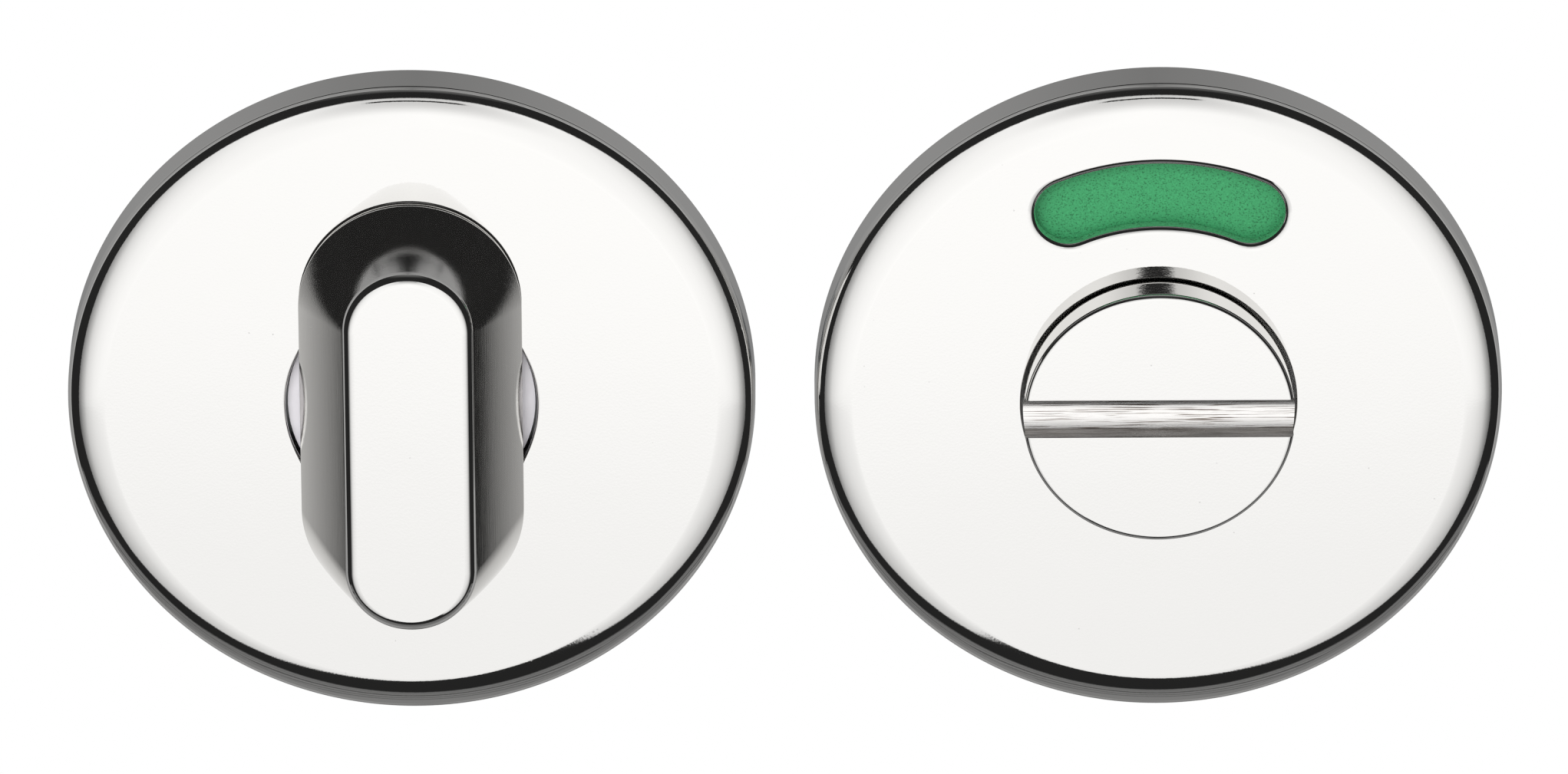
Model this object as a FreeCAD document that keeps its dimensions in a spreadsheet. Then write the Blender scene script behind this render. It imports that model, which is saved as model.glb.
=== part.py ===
import FreeCAD, Part
import math
import os
import re
import Sketcher

# Bathroom thumb turn lock: an inside rose with a thumb turn, and an outside rose with a coin
# release and an indicator. The door face is the plane Y = 0 and both roses face -Y.
# A height is a distance out of the door face, so a height is minus Y. Millimetres throughout.

SIZES = (
    ("rose_radius", 25.0),
    ("rose_height", 4.0),
    ("rose_gap", 4.3),
    ("cover_wall", 1.0),
    ("edge_width", 2.8),
    ("edge_drop", 1.45),
    ("inner_corner_radius", 1.2),
    ("hole_rim_round", 0.2),
    ("plate_gap", 0.3),
    ("turn_plate_thickness", 2.0),
    ("disc_plate_gap", 0.15),
    ("snap_wire_radius", 0.4),
    ("snap_ring_height", 0.6),
    ("snap_ring_bite", 0.15),
    ("snap_ring_gap", 30.0),
    ("groove_clearance", 0.05),
    ("running_clearance", 0.05),
    ("seat_clearance", 0.05),
    ("turn_lift", 0.2),
    ("turn_top", 12.35),
    ("turn_base_half_width", 8.22),
    ("turn_base_half_length", 16.27),
    ("turn_top_half_width", 4.47),
    ("turn_top_half_length", 14.13),
    ("turn_belly", 0.12),
    ("turn_rim_round", 1.0),
    ("turn_base_round", 0.25),
    ("turn_shank_wall", 1.4),
    ("turn_shank_end", 8.0),
    ("turn_socket_depth", 12.0),
    ("turn_hole_radius", 9.15),
    ("bush_gap", 0.15),
    ("turn_bush_flange", 1.1),
    ("turn_bush_sleeve_wall", 1.45),
    ("bush_tail", 1.0),
    ("spindle_side", 5.0),
    ("spindle_reach", 40.0),
    ("spindle_chamfer", 0.5),
    ("grub_radius", 1.5),
    ("grub_inset", 2.1),
    ("grub_socket_side", 1.5),
    ("grub_socket_depth", 1.2),
    ("flat_washer_rim", 7.5),
    ("flat_washer_thickness", 0.5),
    ("spring_wall", 0.4),
    ("spring_rise", 0.5),
    ("circlip_thickness", 0.8),
    ("circlip_band", 1.5),
    ("circlip_seat_depth", 0.4),
    ("circlip_opening", 35.0),
    ("circlip_lug_radius", 1.2),
    ("circlip_lug_hole", 0.5),
    ("shank_chamfer", 0.4),
    ("fixing_inset", 4.7),
    ("screw_radius", 2.0),
    ("screw_head_radius", 3.7),
    ("screw_neck_radius", 1.75),
    ("screw_neck_reach", 1.0),
    ("screw_reach", 26.0),
    ("screw_hole_clearance", 0.2),
    ("screw_recess_reach", 1.9),
    ("screw_recess_width", 0.9),
    ("screw_recess_depth", 1.1),
    ("pillar_radius", 3.5),
    ("pillar_reach", 20.0),
    ("pillar_spigot_radius", 2.5),
    ("thread_depth", 0.35),
    ("pillar_bore_depth", 16.0),
    ("pillar_chamfer", 0.4),
    ("knob_radius", 9.87),
    ("knob_gap", 0.15),
    ("knob_top", 6.7),
    ("knob_edge_round", 0.2),
    ("slot_width", 3.0),
    ("slot_depth", 2.0),
    ("slot_floor_radius", 3.1),
    ("drive_boss_step", 0.8),
    ("release_shank_wall", 1.0),
    ("release_shank_end", 8.0),
    ("release_socket_depth", 10.0),
    ("release_bush_lip", 2.0),
    ("release_bush_flange", 0.9),
    ("release_bush_sleeve_wall", 1.35),
    ("window_offset", 0.39),
    ("window_half_width", 2.5),
    ("window_half_angle", 23.5),
    ("window_rim_round", 0.45),
    ("field_thickness", 0.15),
    ("field_gap", 0.3),
    ("field_margin", 0.8),
    ("field_split", 2.0),
    ("disc_thickness", 0.6),
    ("disc_rim", 0.4),
    ("stop_pin_radius", 1.0),
    ("stop_circle_radius", 12.0),
    ("stop_slot_clearance", 0.2),
    ("stop_travel", 90.0),
    ("stop_pin_head_gap", 0.1),
)
ALIASES = {alias for alias, value in SIZES}

# The small arc of a rolled edge is this much larger than the end radius of its quarter ellipse.
EDGE_EASE = 1.265
# A cut that goes right through runs on past the far side by half of the wall.
THROUGH = 1.5
# Half angle of a countersunk head, in degrees.
SINK_ANGLE = 45
# The stop pin stands straight below the axis. Angles run clockwise from straight up, in degrees.
STOP_ANGLE = 180

# Heights and radii that follow from the driving sizes.
ROSE_SPACING = "(2 * rose_radius + rose_gap)"
COVER_BORE = "(rose_radius - cover_wall)"
COVER_UNDERSIDE = "(rose_height - cover_wall)"
PLATE_RADIUS = f"({COVER_BORE} - plate_gap)"
SNAP_RING_RADIUS = f"({COVER_BORE} + snap_ring_bite - snap_wire_radius)"
FIXING_REACH = f"({PLATE_RADIUS} - fixing_inset)"
TURN_BASE = "(rose_height + turn_lift)"
RELEASE_HOLE = "(knob_radius + knob_gap)"
WINDOW_MIDDLE = f"(({RELEASE_HOLE} + rose_radius - edge_width) / 2 + window_offset)"
FIELD_FRONT = f"({COVER_UNDERSIDE} - field_gap)"
DISC_FRONT = f"({FIELD_FRONT} - field_thickness)"
DISC_BACK = f"({DISC_FRONT} - disc_thickness)"
RELEASE_PLATE_FRONT = f"({DISC_BACK} - disc_plate_gap)"
RELEASE_BUSH_FRONT = f"({DISC_BACK} - running_clearance)"
FIELD_INNER = f"({WINDOW_MIDDLE} - window_half_width - field_margin)"
FIELD_OUTER = f"({WINDOW_MIDDLE} + window_half_width + field_margin)"
SOCKET_SIDE = "(spindle_side + 2 * seat_clearance)"
TURN_SHANK = f"({SOCKET_SIDE} / sqrt(2) + turn_shank_wall)"
TURN_BORE = f"({TURN_SHANK} + running_clearance)"
TURN_SLEEVE = f"({TURN_BORE} + turn_bush_sleeve_wall)"
RELEASE_SHANK = f"({SOCKET_SIDE} / sqrt(2) + release_shank_wall)"
RELEASE_BORE = f"({RELEASE_SHANK} + running_clearance)"
RELEASE_SLEEVE = f"({RELEASE_BORE} + release_bush_sleeve_wall)"
RELEASE_FLANGE = f"({RELEASE_SLEEVE} + release_bush_lip)"
DRIVE_BOSS = f"({RELEASE_SHANK} + drive_boss_step)"
GRUB_REACH = "(turn_shank_end - grub_inset)"
GRUB_TOP = f"({TURN_SHANK} - shank_chamfer / 2)"
GRUB_HOLE_FLOOR = "(spindle_side / 4)"
BUSH_BACK = "(-bush_tail)"
WASHER_FRONT = f"({BUSH_BACK} - seat_clearance)"
WASHER_BACK = f"({WASHER_FRONT} - flat_washer_thickness)"
SPRING_FRONT = f"({WASHER_BACK} - running_clearance)"
SPRING_BACK = f"({SPRING_FRONT} - spring_wall - spring_rise)"
CLIP_FRONT = f"({SPRING_BACK} - seat_clearance)"
CLIP_BACK = f"({CLIP_FRONT} - circlip_thickness)"

doc = FreeCAD.newDocument("thumb_turn_lock")
sheet = doc.addObject("Spreadsheet::Sheet", "Sizes")


def fill_sheet():
    """Write each driving size in its own cell, beside its name."""
    for row, (alias, value) in enumerate(SIZES, start=1):
        sheet.set(f"A{row}", alias)
        sheet.set(f"B{row}", str(value))
        sheet.setAlias(f"B{row}", alias)
    doc.recompute()


def value_of(formula):
    """Number that a formula of sizes gives now."""
    return float(sheet.evalExpression(str(formula)))


def bind(item, target, formula):
    """Tie a property or constraint to a formula of sizes."""

    def linked(word):
        return f"Sizes.{word[0]}" if word[0] in ALIASES else word[0]

    item.setExpression(target, re.sub(r"[a-z_]+", linked, formula))


def new_body(name, on_release_axis=False):
    """Body of one sub-part, on the turn's axis or on the release's axis."""
    body = doc.addObject("PartDesign::Body", name)
    body.Label = name
    if on_release_axis:
        bind(body, ".Placement.Base.x", ROSE_SPACING)
    return body


def new_sketch(body, name, plane, offset="0"):
    """Sketch on one of the body's own planes, moved along the plane's normal by a formula."""
    sketch = body.newObject("Sketcher::SketchObject", name)
    support = [feature for feature in body.Origin.OriginFeatures if feature.Role == plane][0]
    sketch.AttachmentSupport = [(support, "")]
    sketch.MapMode = "FlatFace"
    bind(sketch, ".AttachmentOffset.Base.z", offset)
    return sketch


def pin_point(sketch, edge, point, across, up):
    """Hold a point of a sketch edge at two formulas, measured from the sketch's origin."""
    for kind, formula in (("DistanceX", across), ("DistanceY", up)):
        if formula is None:
            continue
        row = sketch.addConstraint(Sketcher.Constraint(kind, -1, 1, edge, point, value_of(formula)))
        bind(sketch, f"Constraints[{row}]", formula)


def draw_circle(sketch, radius, across="0", up="0"):
    """Circle whose centre and radius follow formulas."""
    centre = FreeCAD.Vector(value_of(across), value_of(up), 0)
    edge = sketch.addGeometry(Part.Circle(centre, FreeCAD.Vector(0, 0, 1), value_of(radius)), False)
    pin_point(sketch, edge, 3, across, up)
    row = sketch.addConstraint(Sketcher.Constraint("Radius", edge, value_of(radius)))
    bind(sketch, f"Constraints[{row}]", radius)


def arc_between(start, end, centre, anticlockwise):
    """Arc round a centre, from start to end."""
    radius = start.distanceToPoint(centre)
    first = math.atan2(start.y - centre.y, start.x - centre.x)
    last = math.atan2(end.y - centre.y, end.x - centre.x)
    if not anticlockwise:
        first, last = last, first
    return Part.ArcOfCircle(Part.Circle(centre, FreeCAD.Vector(0, 0, 1), radius), first, last)


def draw_loop(sketch, corners):
    """Closed outline through corners, each (across, up) in formulas.

    A corner may go on with (centre across, centre up, anticlockwise): then the edge that leaves
    it is an arc round that centre. The corners are pinned, and an arc by one more coordinate of
    its centre.
    """
    spots = [FreeCAD.Vector(value_of(corner[0]), value_of(corner[1]), 0) for corner in corners]
    first = sketch.GeometryCount
    ends = []
    for index, corner in enumerate(corners):
        start, end = spots[index], spots[(index + 1) % len(spots)]
        if len(corner) == 2:
            sketch.addGeometry(Part.LineSegment(start, end), False)
            ends.append((1, 2))
        else:
            centre = FreeCAD.Vector(value_of(corner[2]), value_of(corner[3]), 0)
            sketch.addGeometry(arc_between(start, end, centre, corner[4]), False)
            ends.append((1, 2) if corner[4] else (2, 1))
    for index, corner in enumerate(corners):
        following = (index + 1) % len(corners)
        link = (first + index, ends[index][1], first + following, ends[following][0])
        sketch.addConstraint(Sketcher.Constraint("Coincident", *link))
    for index, corner in enumerate(corners):
        pin_point(sketch, first + index, ends[index][0], corner[0], corner[1])
        if len(corner) > 2:
            chord = spots[(index + 1) % len(spots)] - spots[index]
            level = abs(chord.x) >= abs(chord.y)
            pin_point(sketch, first + index, 3, None if level else corner[2], corner[3] if level else None)


def draw_rectangle(sketch, half_across, half_up):
    """Rectangle about the sketch's origin."""
    low_x, low_y = f"(-({half_across}))", f"(-({half_up}))"
    draw_loop(sketch, [(low_x, low_y), (half_across, low_y), (half_across, half_up), (low_x, half_up)])


def draw_stadium(sketch, half_width, half_length):
    """Upright outline with straight sides and round ends."""
    left, straight = f"(-({half_width}))", f"({half_length} - ({half_width}))"
    draw_loop(sketch, [
        (half_width, f"-{straight}"),
        (half_width, straight, "0", straight, True),
        (left, straight),
        (left, f"-{straight}", "0", f"-{straight}", True),
    ])


def polar(radius, angle):
    """Point at an angle from straight up, clockwise as the viewer sees it, in degrees."""
    return f"(({radius}) * sin({angle}))", f"(({radius}) * cos({angle}))"


def draw_arc_slot(sketch, middle, half_width, first, last):
    """Slot bent along a circle, from one angle to another, with round ends."""
    inner, outer = f"({middle} - ({half_width}))", f"({middle} + {half_width})"
    draw_loop(sketch, [
        (*polar(outer, first), "0", "0", False),
        (*polar(outer, last), *polar(middle, last), False),
        (*polar(inner, last), "0", "0", True),
        (*polar(inner, first), *polar(middle, first), False),
    ])


def draw_ring_sector(sketch, inner, outer, first, last):
    """Part of a ring between two angles, with straight ends."""
    draw_loop(sketch, [
        (*polar(outer, first), "0", "0", False),
        polar(outer, last),
        (*polar(inner, last), "0", "0", True),
        polar(inner, first),
    ])


def turned(body, name, profile):
    """Solid of revolution about the body's own axis.

    The profile's corners are (height, radius) in formulas, and may go on with (centre height,
    centre radius, anticlockwise).
    """
    sketch = new_sketch(body, f"{name}_profile", "YZ_Plane")
    corners = []
    for corner in profile:
        placed = (f"(-({corner[0]}))", corner[1])
        if len(corner) > 2:
            placed += (f"(-({corner[2]}))", corner[3], corner[4])
        corners.append(placed)
    draw_loop(sketch, corners)
    feature = body.newObject("PartDesign::Revolution", name)
    feature.Profile = sketch
    feature.ReferenceAxis = (sketch, ["H_Axis"])
    feature.Angle = 360
    return feature


def padded(body, name, sketch, length, towards_door=False):
    """Pad of a sketch, out of the door unless it says towards the door."""
    feature = body.newObject("PartDesign::Pad", name)
    feature.Profile = sketch
    feature.Reversed = towards_door
    bind(feature, "Length", length)
    return feature


def pocketed(body, name, sketch, length, outwards=False):
    """Pocket that cuts against the sketch's normal, or along it if it says outwards."""
    feature = body.newObject("PartDesign::Pocket", name)
    feature.Profile = sketch
    feature.Reversed = outwards
    bind(feature, "Length", length)
    require_cut(body, feature)
    return feature


def require_cut(body, feature):
    """Stop if a feature took nothing away."""
    before = feature.BaseFeature if feature.BaseFeature else None
    doc.recompute()
    if before is not None and not feature.Shape.Volume < before.Shape.Volume - 1e-4:
        raise RuntimeError(f"{body.Name}: {feature.Name} cuts nothing")


def edges_where(feature, test):
    """Names of a feature's edges that pass a test."""
    doc.recompute()
    return [f"Edge{place}" for place, edge in enumerate(feature.Shape.Edges, start=1) if test(edge)]


def lies_at_height(edge, height):
    """Whether a whole edge lies at one height."""
    box = edge.BoundBox
    return abs(box.YMin + height) < 1e-4 and abs(box.YMax + height) < 1e-4


def rounded(body, name, base, edges, radius):
    """Fillet on named edges."""
    feature = body.newObject("PartDesign::Fillet", name)
    feature.Base = (base, edges)
    bind(feature, "Radius", radius)
    return feature


def chamfered(body, name, base, edges, size):
    """Chamfer on named edges."""
    feature = body.newObject("PartDesign::Chamfer", name)
    feature.Base = (base, edges)
    bind(feature, "Size", size)
    return feature


def snap_groove(side):
    """Lower and upper height of the groove for the snap ring, and its depth line on one side."""
    reach = "(snap_wire_radius + groove_clearance)"
    low, high = f"(snap_ring_height - {reach})", f"(snap_ring_height + {reach})"
    bottom = f"({SNAP_RING_RADIUS} {side} {reach})"
    return low, high, bottom


def rose_cover(name, hole_radius, on_release_axis=False):
    """Pressed cover: a flat face, an edge that rolls over as a quarter ellipse, and a short wall.

    The quarter ellipse is drawn as two tangent arcs. The small one is at the wall.
    """
    body = new_body(name, on_release_axis)
    small = f"({EDGE_EASE} * edge_drop * edge_drop / edge_width)"
    large = f"(((edge_width - {small})^2 + edge_drop^2 - {small}^2) / (2 * (edge_drop - {small})))"
    stretch = f"({large} / ({large} - {small}))"
    join_height = f"(rose_height - {large} + ({large} - edge_drop) * {stretch})"
    join_radius = f"(rose_radius - edge_width + (edge_width - {small}) * {stretch})"
    groove_low, groove_high, groove_bottom = snap_groove("+")
    corner = "inner_corner_radius"
    turned(body, f"{name}_shell", [
        ("0", "rose_radius"),
        ("rose_height - edge_drop", "rose_radius", "rose_height - edge_drop", f"rose_radius - {small}", True),
        (join_height, join_radius, f"rose_height - {large}", "rose_radius - edge_width", True),
        ("rose_height", "rose_radius - edge_width"),
        ("rose_height", f"{hole_radius} + hole_rim_round",
         "rose_height - hole_rim_round", f"{hole_radius} + hole_rim_round", True),
        ("rose_height - hole_rim_round", hole_radius),
        (COVER_UNDERSIDE, hole_radius),
        (COVER_UNDERSIDE, f"{COVER_BORE} - {corner}",
         f"{COVER_UNDERSIDE} - {corner}", f"{COVER_BORE} - {corner}", False),
        (f"{COVER_UNDERSIDE} - {corner}", COVER_BORE),
        (groove_high, COVER_BORE),
        (groove_high, groove_bottom),
        (groove_low, groove_bottom),
        (groove_low, COVER_BORE),
        ("0", COVER_BORE),
    ])
    return body


def cut_window(body):
    """Arc window in the cover's face, with a soft rim, over the top of the hole."""
    sketch = new_sketch(body, "window_outline", "XZ_Plane", "rose_height")
    draw_arc_slot(sketch, WINDOW_MIDDLE, "window_half_width", "-window_half_angle", "window_half_angle")
    window = pocketed(body, "window", sketch, f"{THROUGH} * cover_wall")
    height, hole, face = value_of("rose_height"), value_of(RELEASE_HOLE), value_of("rose_radius - edge_width")

    def on_rim(edge):
        middle = edge.CenterOfMass
        return lies_at_height(edge, height) and hole < math.hypot(middle.x, middle.z) < face

    rounded(body, "window_rim", window, edges_where(window, on_rim), "window_rim_round")


def inner_rose(name, thickness, bore_radius, on_release_axis=False):
    """Round plate inside a cover, with a groove round its edge for the snap ring."""
    body = new_body(name, on_release_axis)
    groove_low, groove_high, groove_bottom = snap_groove("-")
    turned(body, f"{name}_disc", [
        ("0", PLATE_RADIUS),
        (groove_low, PLATE_RADIUS),
        (groove_low, groove_bottom),
        (groove_high, groove_bottom),
        (groove_high, PLATE_RADIUS),
        (thickness, PLATE_RADIUS),
        (thickness, bore_radius),
        ("0", bore_radius),
    ])
    return body


def pair_of_circles(sketch, radius):
    """Two circles at the fixing centres, left and right of the axis."""
    for side in ("-", ""):
        draw_circle(sketch, radius, f"({side}{FIXING_REACH})")


def cut_screw_holes(body):
    """Countersunk holes for the two screws."""
    hole_radius = "(screw_radius + screw_hole_clearance)"
    sink_radius = "(screw_head_radius + seat_clearance)"
    holes = new_sketch(body, "screw_hole_outline", "XZ_Plane", "turn_plate_thickness")
    pair_of_circles(holes, hole_radius)
    pocketed(body, "screw_holes", holes, f"{THROUGH} * turn_plate_thickness")
    sinks = new_sketch(body, "screw_sink_outline", "XZ_Plane", "turn_plate_thickness")
    pair_of_circles(sinks, sink_radius)
    countersinks = pocketed(body, "screw_countersinks", sinks, f"{sink_radius} - {hole_radius}")
    countersinks.TaperAngle = -SINK_ANGLE


def flanged_bush(name, front, flange_radius, flange, sleeve_radius, bore_radius, on_release_axis=False):
    """Nylon bush: a flange in front and a sleeve that goes through the plate."""
    body = new_body(name, on_release_axis)
    turned(body, f"{name}_turning", [
        (BUSH_BACK, bore_radius),
        (BUSH_BACK, sleeve_radius),
        (f"{front} - {flange}", sleeve_radius),
        (f"{front} - {flange}", flange_radius),
        (front, flange_radius),
        (front, bore_radius),
    ])
    return body


def shank_profile(root, radius, end):
    """Round shank behind a knob, with the circlip's groove and a chamfered end."""
    seat = f"{radius} - circlip_seat_depth"
    return [
        (root, "0"),
        (root, radius),
        (f"{CLIP_FRONT} + seat_clearance", radius),
        (f"{CLIP_FRONT} + seat_clearance", seat),
        (f"{CLIP_BACK} - seat_clearance", seat),
        (f"{CLIP_BACK} - seat_clearance", radius),
        (f"-{end} + shank_chamfer", radius),
        (f"-{end}", f"{radius} - shank_chamfer"),
        (f"-{end}", "0"),
    ]


def thumb_turn():
    """Oval turn with sloping, slightly swelling sides, and its round shank with a square socket."""
    body = new_body("thumb_turn")
    stations = (
        ("base", TURN_BASE, "turn_base_half_width", "turn_base_half_length"),
        ("waist", f"({TURN_BASE} + turn_top) / 2",
         "((turn_base_half_width + turn_top_half_width) / 2 + turn_belly)",
         "((turn_base_half_length + turn_top_half_length) / 2 + turn_belly)"),
        ("crown", "turn_top", "turn_top_half_width", "turn_top_half_length"),
    )
    sections = []
    for name, height, half_width, half_length in stations:
        sketch = new_sketch(body, f"turn_{name}", "XZ_Plane", height)
        draw_stadium(sketch, half_width, half_length)
        sections.append(sketch)
    grip = body.newObject("PartDesign::AdditiveLoft", "grip")
    grip.Profile = sections[0]
    grip.Sections = sections[1:]
    crown_edges = edges_where(grip, lambda edge: lies_at_height(edge, value_of("turn_top")))
    rim = rounded(body, "crown_round", grip, crown_edges, "turn_rim_round")
    base_edges = edges_where(rim, lambda edge: lies_at_height(edge, value_of(TURN_BASE)))
    rounded(body, "base_round", rim, base_edges, "turn_base_round")
    turned(body, "turn_shank", shank_profile(f"{TURN_BASE} + turn_base_round", TURN_SHANK, "turn_shank_end"))
    socket = new_sketch(body, "turn_socket_outline", "XZ_Plane", "-turn_shank_end")
    draw_rectangle(socket, f"{SOCKET_SIDE} / 2", f"{SOCKET_SIDE} / 2")
    pocketed(body, "turn_socket", socket, "turn_socket_depth", outwards=True)
    grub_hole = new_sketch(body, "grub_hole_outline", "XY_Plane", TURN_SHANK)
    draw_circle(grub_hole, "grub_radius + seat_clearance", "0", GRUB_REACH)
    pocketed(body, "grub_hole", grub_hole, f"{TURN_SHANK} - {GRUB_HOLE_FLOOR}")
    return body


def release_knob():
    """Round coin release: a stepped head with a trough slot, a drive boss, a shank and a socket."""
    body = new_body("release_knob", on_release_axis=True)
    turned(body, "knob_head", [
        (DISC_FRONT, "0"),
        (DISC_FRONT, "knob_radius"),
        ("knob_top - knob_edge_round", "knob_radius",
         "knob_top - knob_edge_round", "knob_radius - knob_edge_round", True),
        ("knob_top", "knob_radius - knob_edge_round"),
        ("knob_top", "0"),
    ])
    boss = new_sketch(body, "drive_boss_outline", "XZ_Plane", DISC_FRONT)
    draw_drive_outline(boss, DRIVE_BOSS, RELEASE_SHANK)
    padded(body, "drive_boss", boss, "disc_thickness", towards_door=True)
    turned(body, "release_shank", shank_profile(DISC_FRONT, RELEASE_SHANK, "release_shank_end"))
    slot = new_sketch(body, "coin_slot_outline", "YZ_Plane")
    half = "(slot_width / 2)"
    centre = "(-(knob_top - slot_depth + slot_floor_radius))"
    floor_edge = f"({centre} + sqrt(slot_floor_radius^2 - {half}^2))"
    open_end = f"(-{THROUGH} * knob_top)"
    draw_loop(slot, [
        (open_end, f"-{half}"),
        (floor_edge, f"-{half}", centre, "0", True),
        (floor_edge, half),
        (open_end, half),
    ])
    coin_slot = body.newObject("PartDesign::Pocket", "coin_slot")
    coin_slot.Profile = slot
    coin_slot.Midplane = True
    bind(coin_slot, "Length", f"{THROUGH} * 2 * knob_radius")
    require_cut(body, coin_slot)
    socket = new_sketch(body, "release_socket_outline", "XZ_Plane", "-release_shank_end")
    draw_rectangle(socket, f"{SOCKET_SIDE} / 2", f"{SOCKET_SIDE} / 2")
    pocketed(body, "release_socket", socket, "release_socket_depth", outwards=True)
    return body


def draw_drive_outline(sketch, radius, flat):
    """Circle with two flats, above and below."""
    reach = f"sqrt(({radius})^2 - ({flat})^2)"
    draw_loop(sketch, [
        (reach, f"(-({flat}))", "0", "0", True),
        (reach, flat),
        (f"(-{reach})", flat, "0", "0", True),
        (f"(-{reach})", f"(-({flat}))"),
    ])


def indicator_disc():
    """Disc behind the window, driven by the knob's boss, with a slot that the stop pin runs in."""
    body = new_body("indicator_disc", on_release_axis=True)
    outline = new_sketch(body, "disc_outline", "XZ_Plane", DISC_BACK)
    draw_circle(outline, f"{FIELD_OUTER} + disc_rim")
    draw_drive_outline(outline, f"{DRIVE_BOSS} + seat_clearance", f"{RELEASE_SHANK} + seat_clearance")
    padded(body, "disc_blank", outline, "disc_thickness")
    slot = new_sketch(body, "stop_slot_outline", "XZ_Plane", DISC_FRONT)
    half_width = "(stop_pin_radius + stop_slot_clearance)"
    draw_arc_slot(slot, "stop_circle_radius", half_width, STOP_ANGLE, f"{STOP_ANGLE} + stop_travel")
    pocketed(body, "stop_slot", slot, f"{THROUGH} * disc_thickness")
    return body


def indicator_field(name, middle_angle):
    """Coloured film on the indicator disc, centred on an angle from straight up."""
    body = new_body(name, on_release_axis=True)
    sketch = new_sketch(body, f"{name}_outline", "XZ_Plane", DISC_FRONT)
    half = "(stop_travel / 2 - field_split)"
    first, last = f"({middle_angle} - {half})", f"({middle_angle} + {half})"
    draw_ring_sector(sketch, FIELD_INNER, FIELD_OUTER, first, last)
    padded(body, f"{name}_film", sketch, "field_thickness")
    return body


def stop_pin():
    """Pin pressed in the outside plate, which ends the disc's quarter turn."""
    body = new_body("stop_pin", on_release_axis=True)
    sketch = new_sketch(body, "stop_pin_outline", "XZ_Plane", "0")
    across, up = polar("stop_circle_radius", STOP_ANGLE)
    draw_circle(sketch, "stop_pin_radius", across, up)
    padded(body, "stop_pin_rod", sketch, f"{DISC_FRONT} - stop_pin_head_gap")
    return body


def release_plate():
    """Outside plate: a seat for the bush's flange, two pillar holes and the stop pin's hole."""
    bore = f"({RELEASE_SLEEVE} + seat_clearance)"
    body = inner_rose("release_inner_rose", RELEASE_PLATE_FRONT, bore, on_release_axis=True)
    seat = new_sketch(body, "bush_seat_outline", "XZ_Plane", RELEASE_PLATE_FRONT)
    draw_circle(seat, f"{RELEASE_FLANGE} + seat_clearance")
    pocketed(body, "bush_seat", seat, f"{RELEASE_PLATE_FRONT} - ({RELEASE_BUSH_FRONT} - release_bush_flange)")
    holes = new_sketch(body, "pillar_hole_outline", "XZ_Plane", RELEASE_PLATE_FRONT)
    pair_of_circles(holes, "pillar_spigot_radius + seat_clearance")
    across, up = polar("stop_circle_radius", STOP_ANGLE)
    draw_circle(holes, "stop_pin_radius", across, up)
    pocketed(body, "pillar_holes", holes, f"{THROUGH} * {RELEASE_PLATE_FRONT}")
    return body


def turn_plate():
    """Inside plate: a bore for the bush's sleeve and the countersunk screw holes."""
    bore = f"({TURN_SLEEVE} + seat_clearance)"
    body = inner_rose("turn_inner_rose", "turn_plate_thickness", bore)
    cut_screw_holes(body)
    return body


def spindle():
    """Square bar from the turn's socket to past the back of the rose, with a chamfered tip."""
    body = new_body("turn_spindle")
    front = "(turn_socket_depth - turn_shank_end - seat_clearance)"
    sketch = new_sketch(body, "bar_outline", "XZ_Plane", front)
    draw_rectangle(sketch, "spindle_side / 2", "spindle_side / 2")
    bar = padded(body, "bar", sketch, f"{front} + spindle_reach", towards_door=True)
    tip = edges_where(bar, lambda edge: lies_at_height(edge, -value_of("spindle_reach")))
    chamfered(body, "bar_tip", bar, tip, "spindle_chamfer")
    return body


def grub_screw():
    """Grub screw in the turn's shank, set down on the square bar, with a square key socket."""
    body = new_body("spindle_grub_screw")
    sketch = new_sketch(body, "grub_outline", "XY_Plane", "spindle_side / 2")
    draw_circle(sketch, "grub_radius", "0", GRUB_REACH)
    padded(body, "grub_rod", sketch, f"{GRUB_TOP} - spindle_side / 2")
    key = new_sketch(body, "key_outline", "XY_Plane", GRUB_TOP)
    half = "(grub_socket_side / 2)"
    near, far = f"({GRUB_REACH} - {half})", f"({GRUB_REACH} + {half})"
    draw_loop(key, [(f"-{half}", near), (half, near), (half, far), (f"-{half}", far)])
    pocketed(body, "key_socket", key, "grub_socket_depth")
    return body


def flat_washer(name, bore_radius, on_release_axis=False):
    """Flat washer behind a bush."""
    body = new_body(name, on_release_axis)
    turned(body, f"{name}_ring", [
        (WASHER_BACK, bore_radius),
        (WASHER_BACK, "flat_washer_rim"),
        (WASHER_FRONT, "flat_washer_rim"),
        (WASHER_FRONT, bore_radius),
    ])
    return body


def disc_spring(name, bore_radius, on_release_axis=False):
    """Conical spring washer between the flat washer and the circlip."""
    body = new_body(name, on_release_axis)
    turned(body, f"{name}_cone", [
        (f"{SPRING_BACK} + spring_wall", bore_radius),
        (SPRING_BACK, bore_radius),
        (f"{SPRING_FRONT} - spring_wall", "flat_washer_rim"),
        (SPRING_FRONT, "flat_washer_rim"),
    ])
    return body


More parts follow.
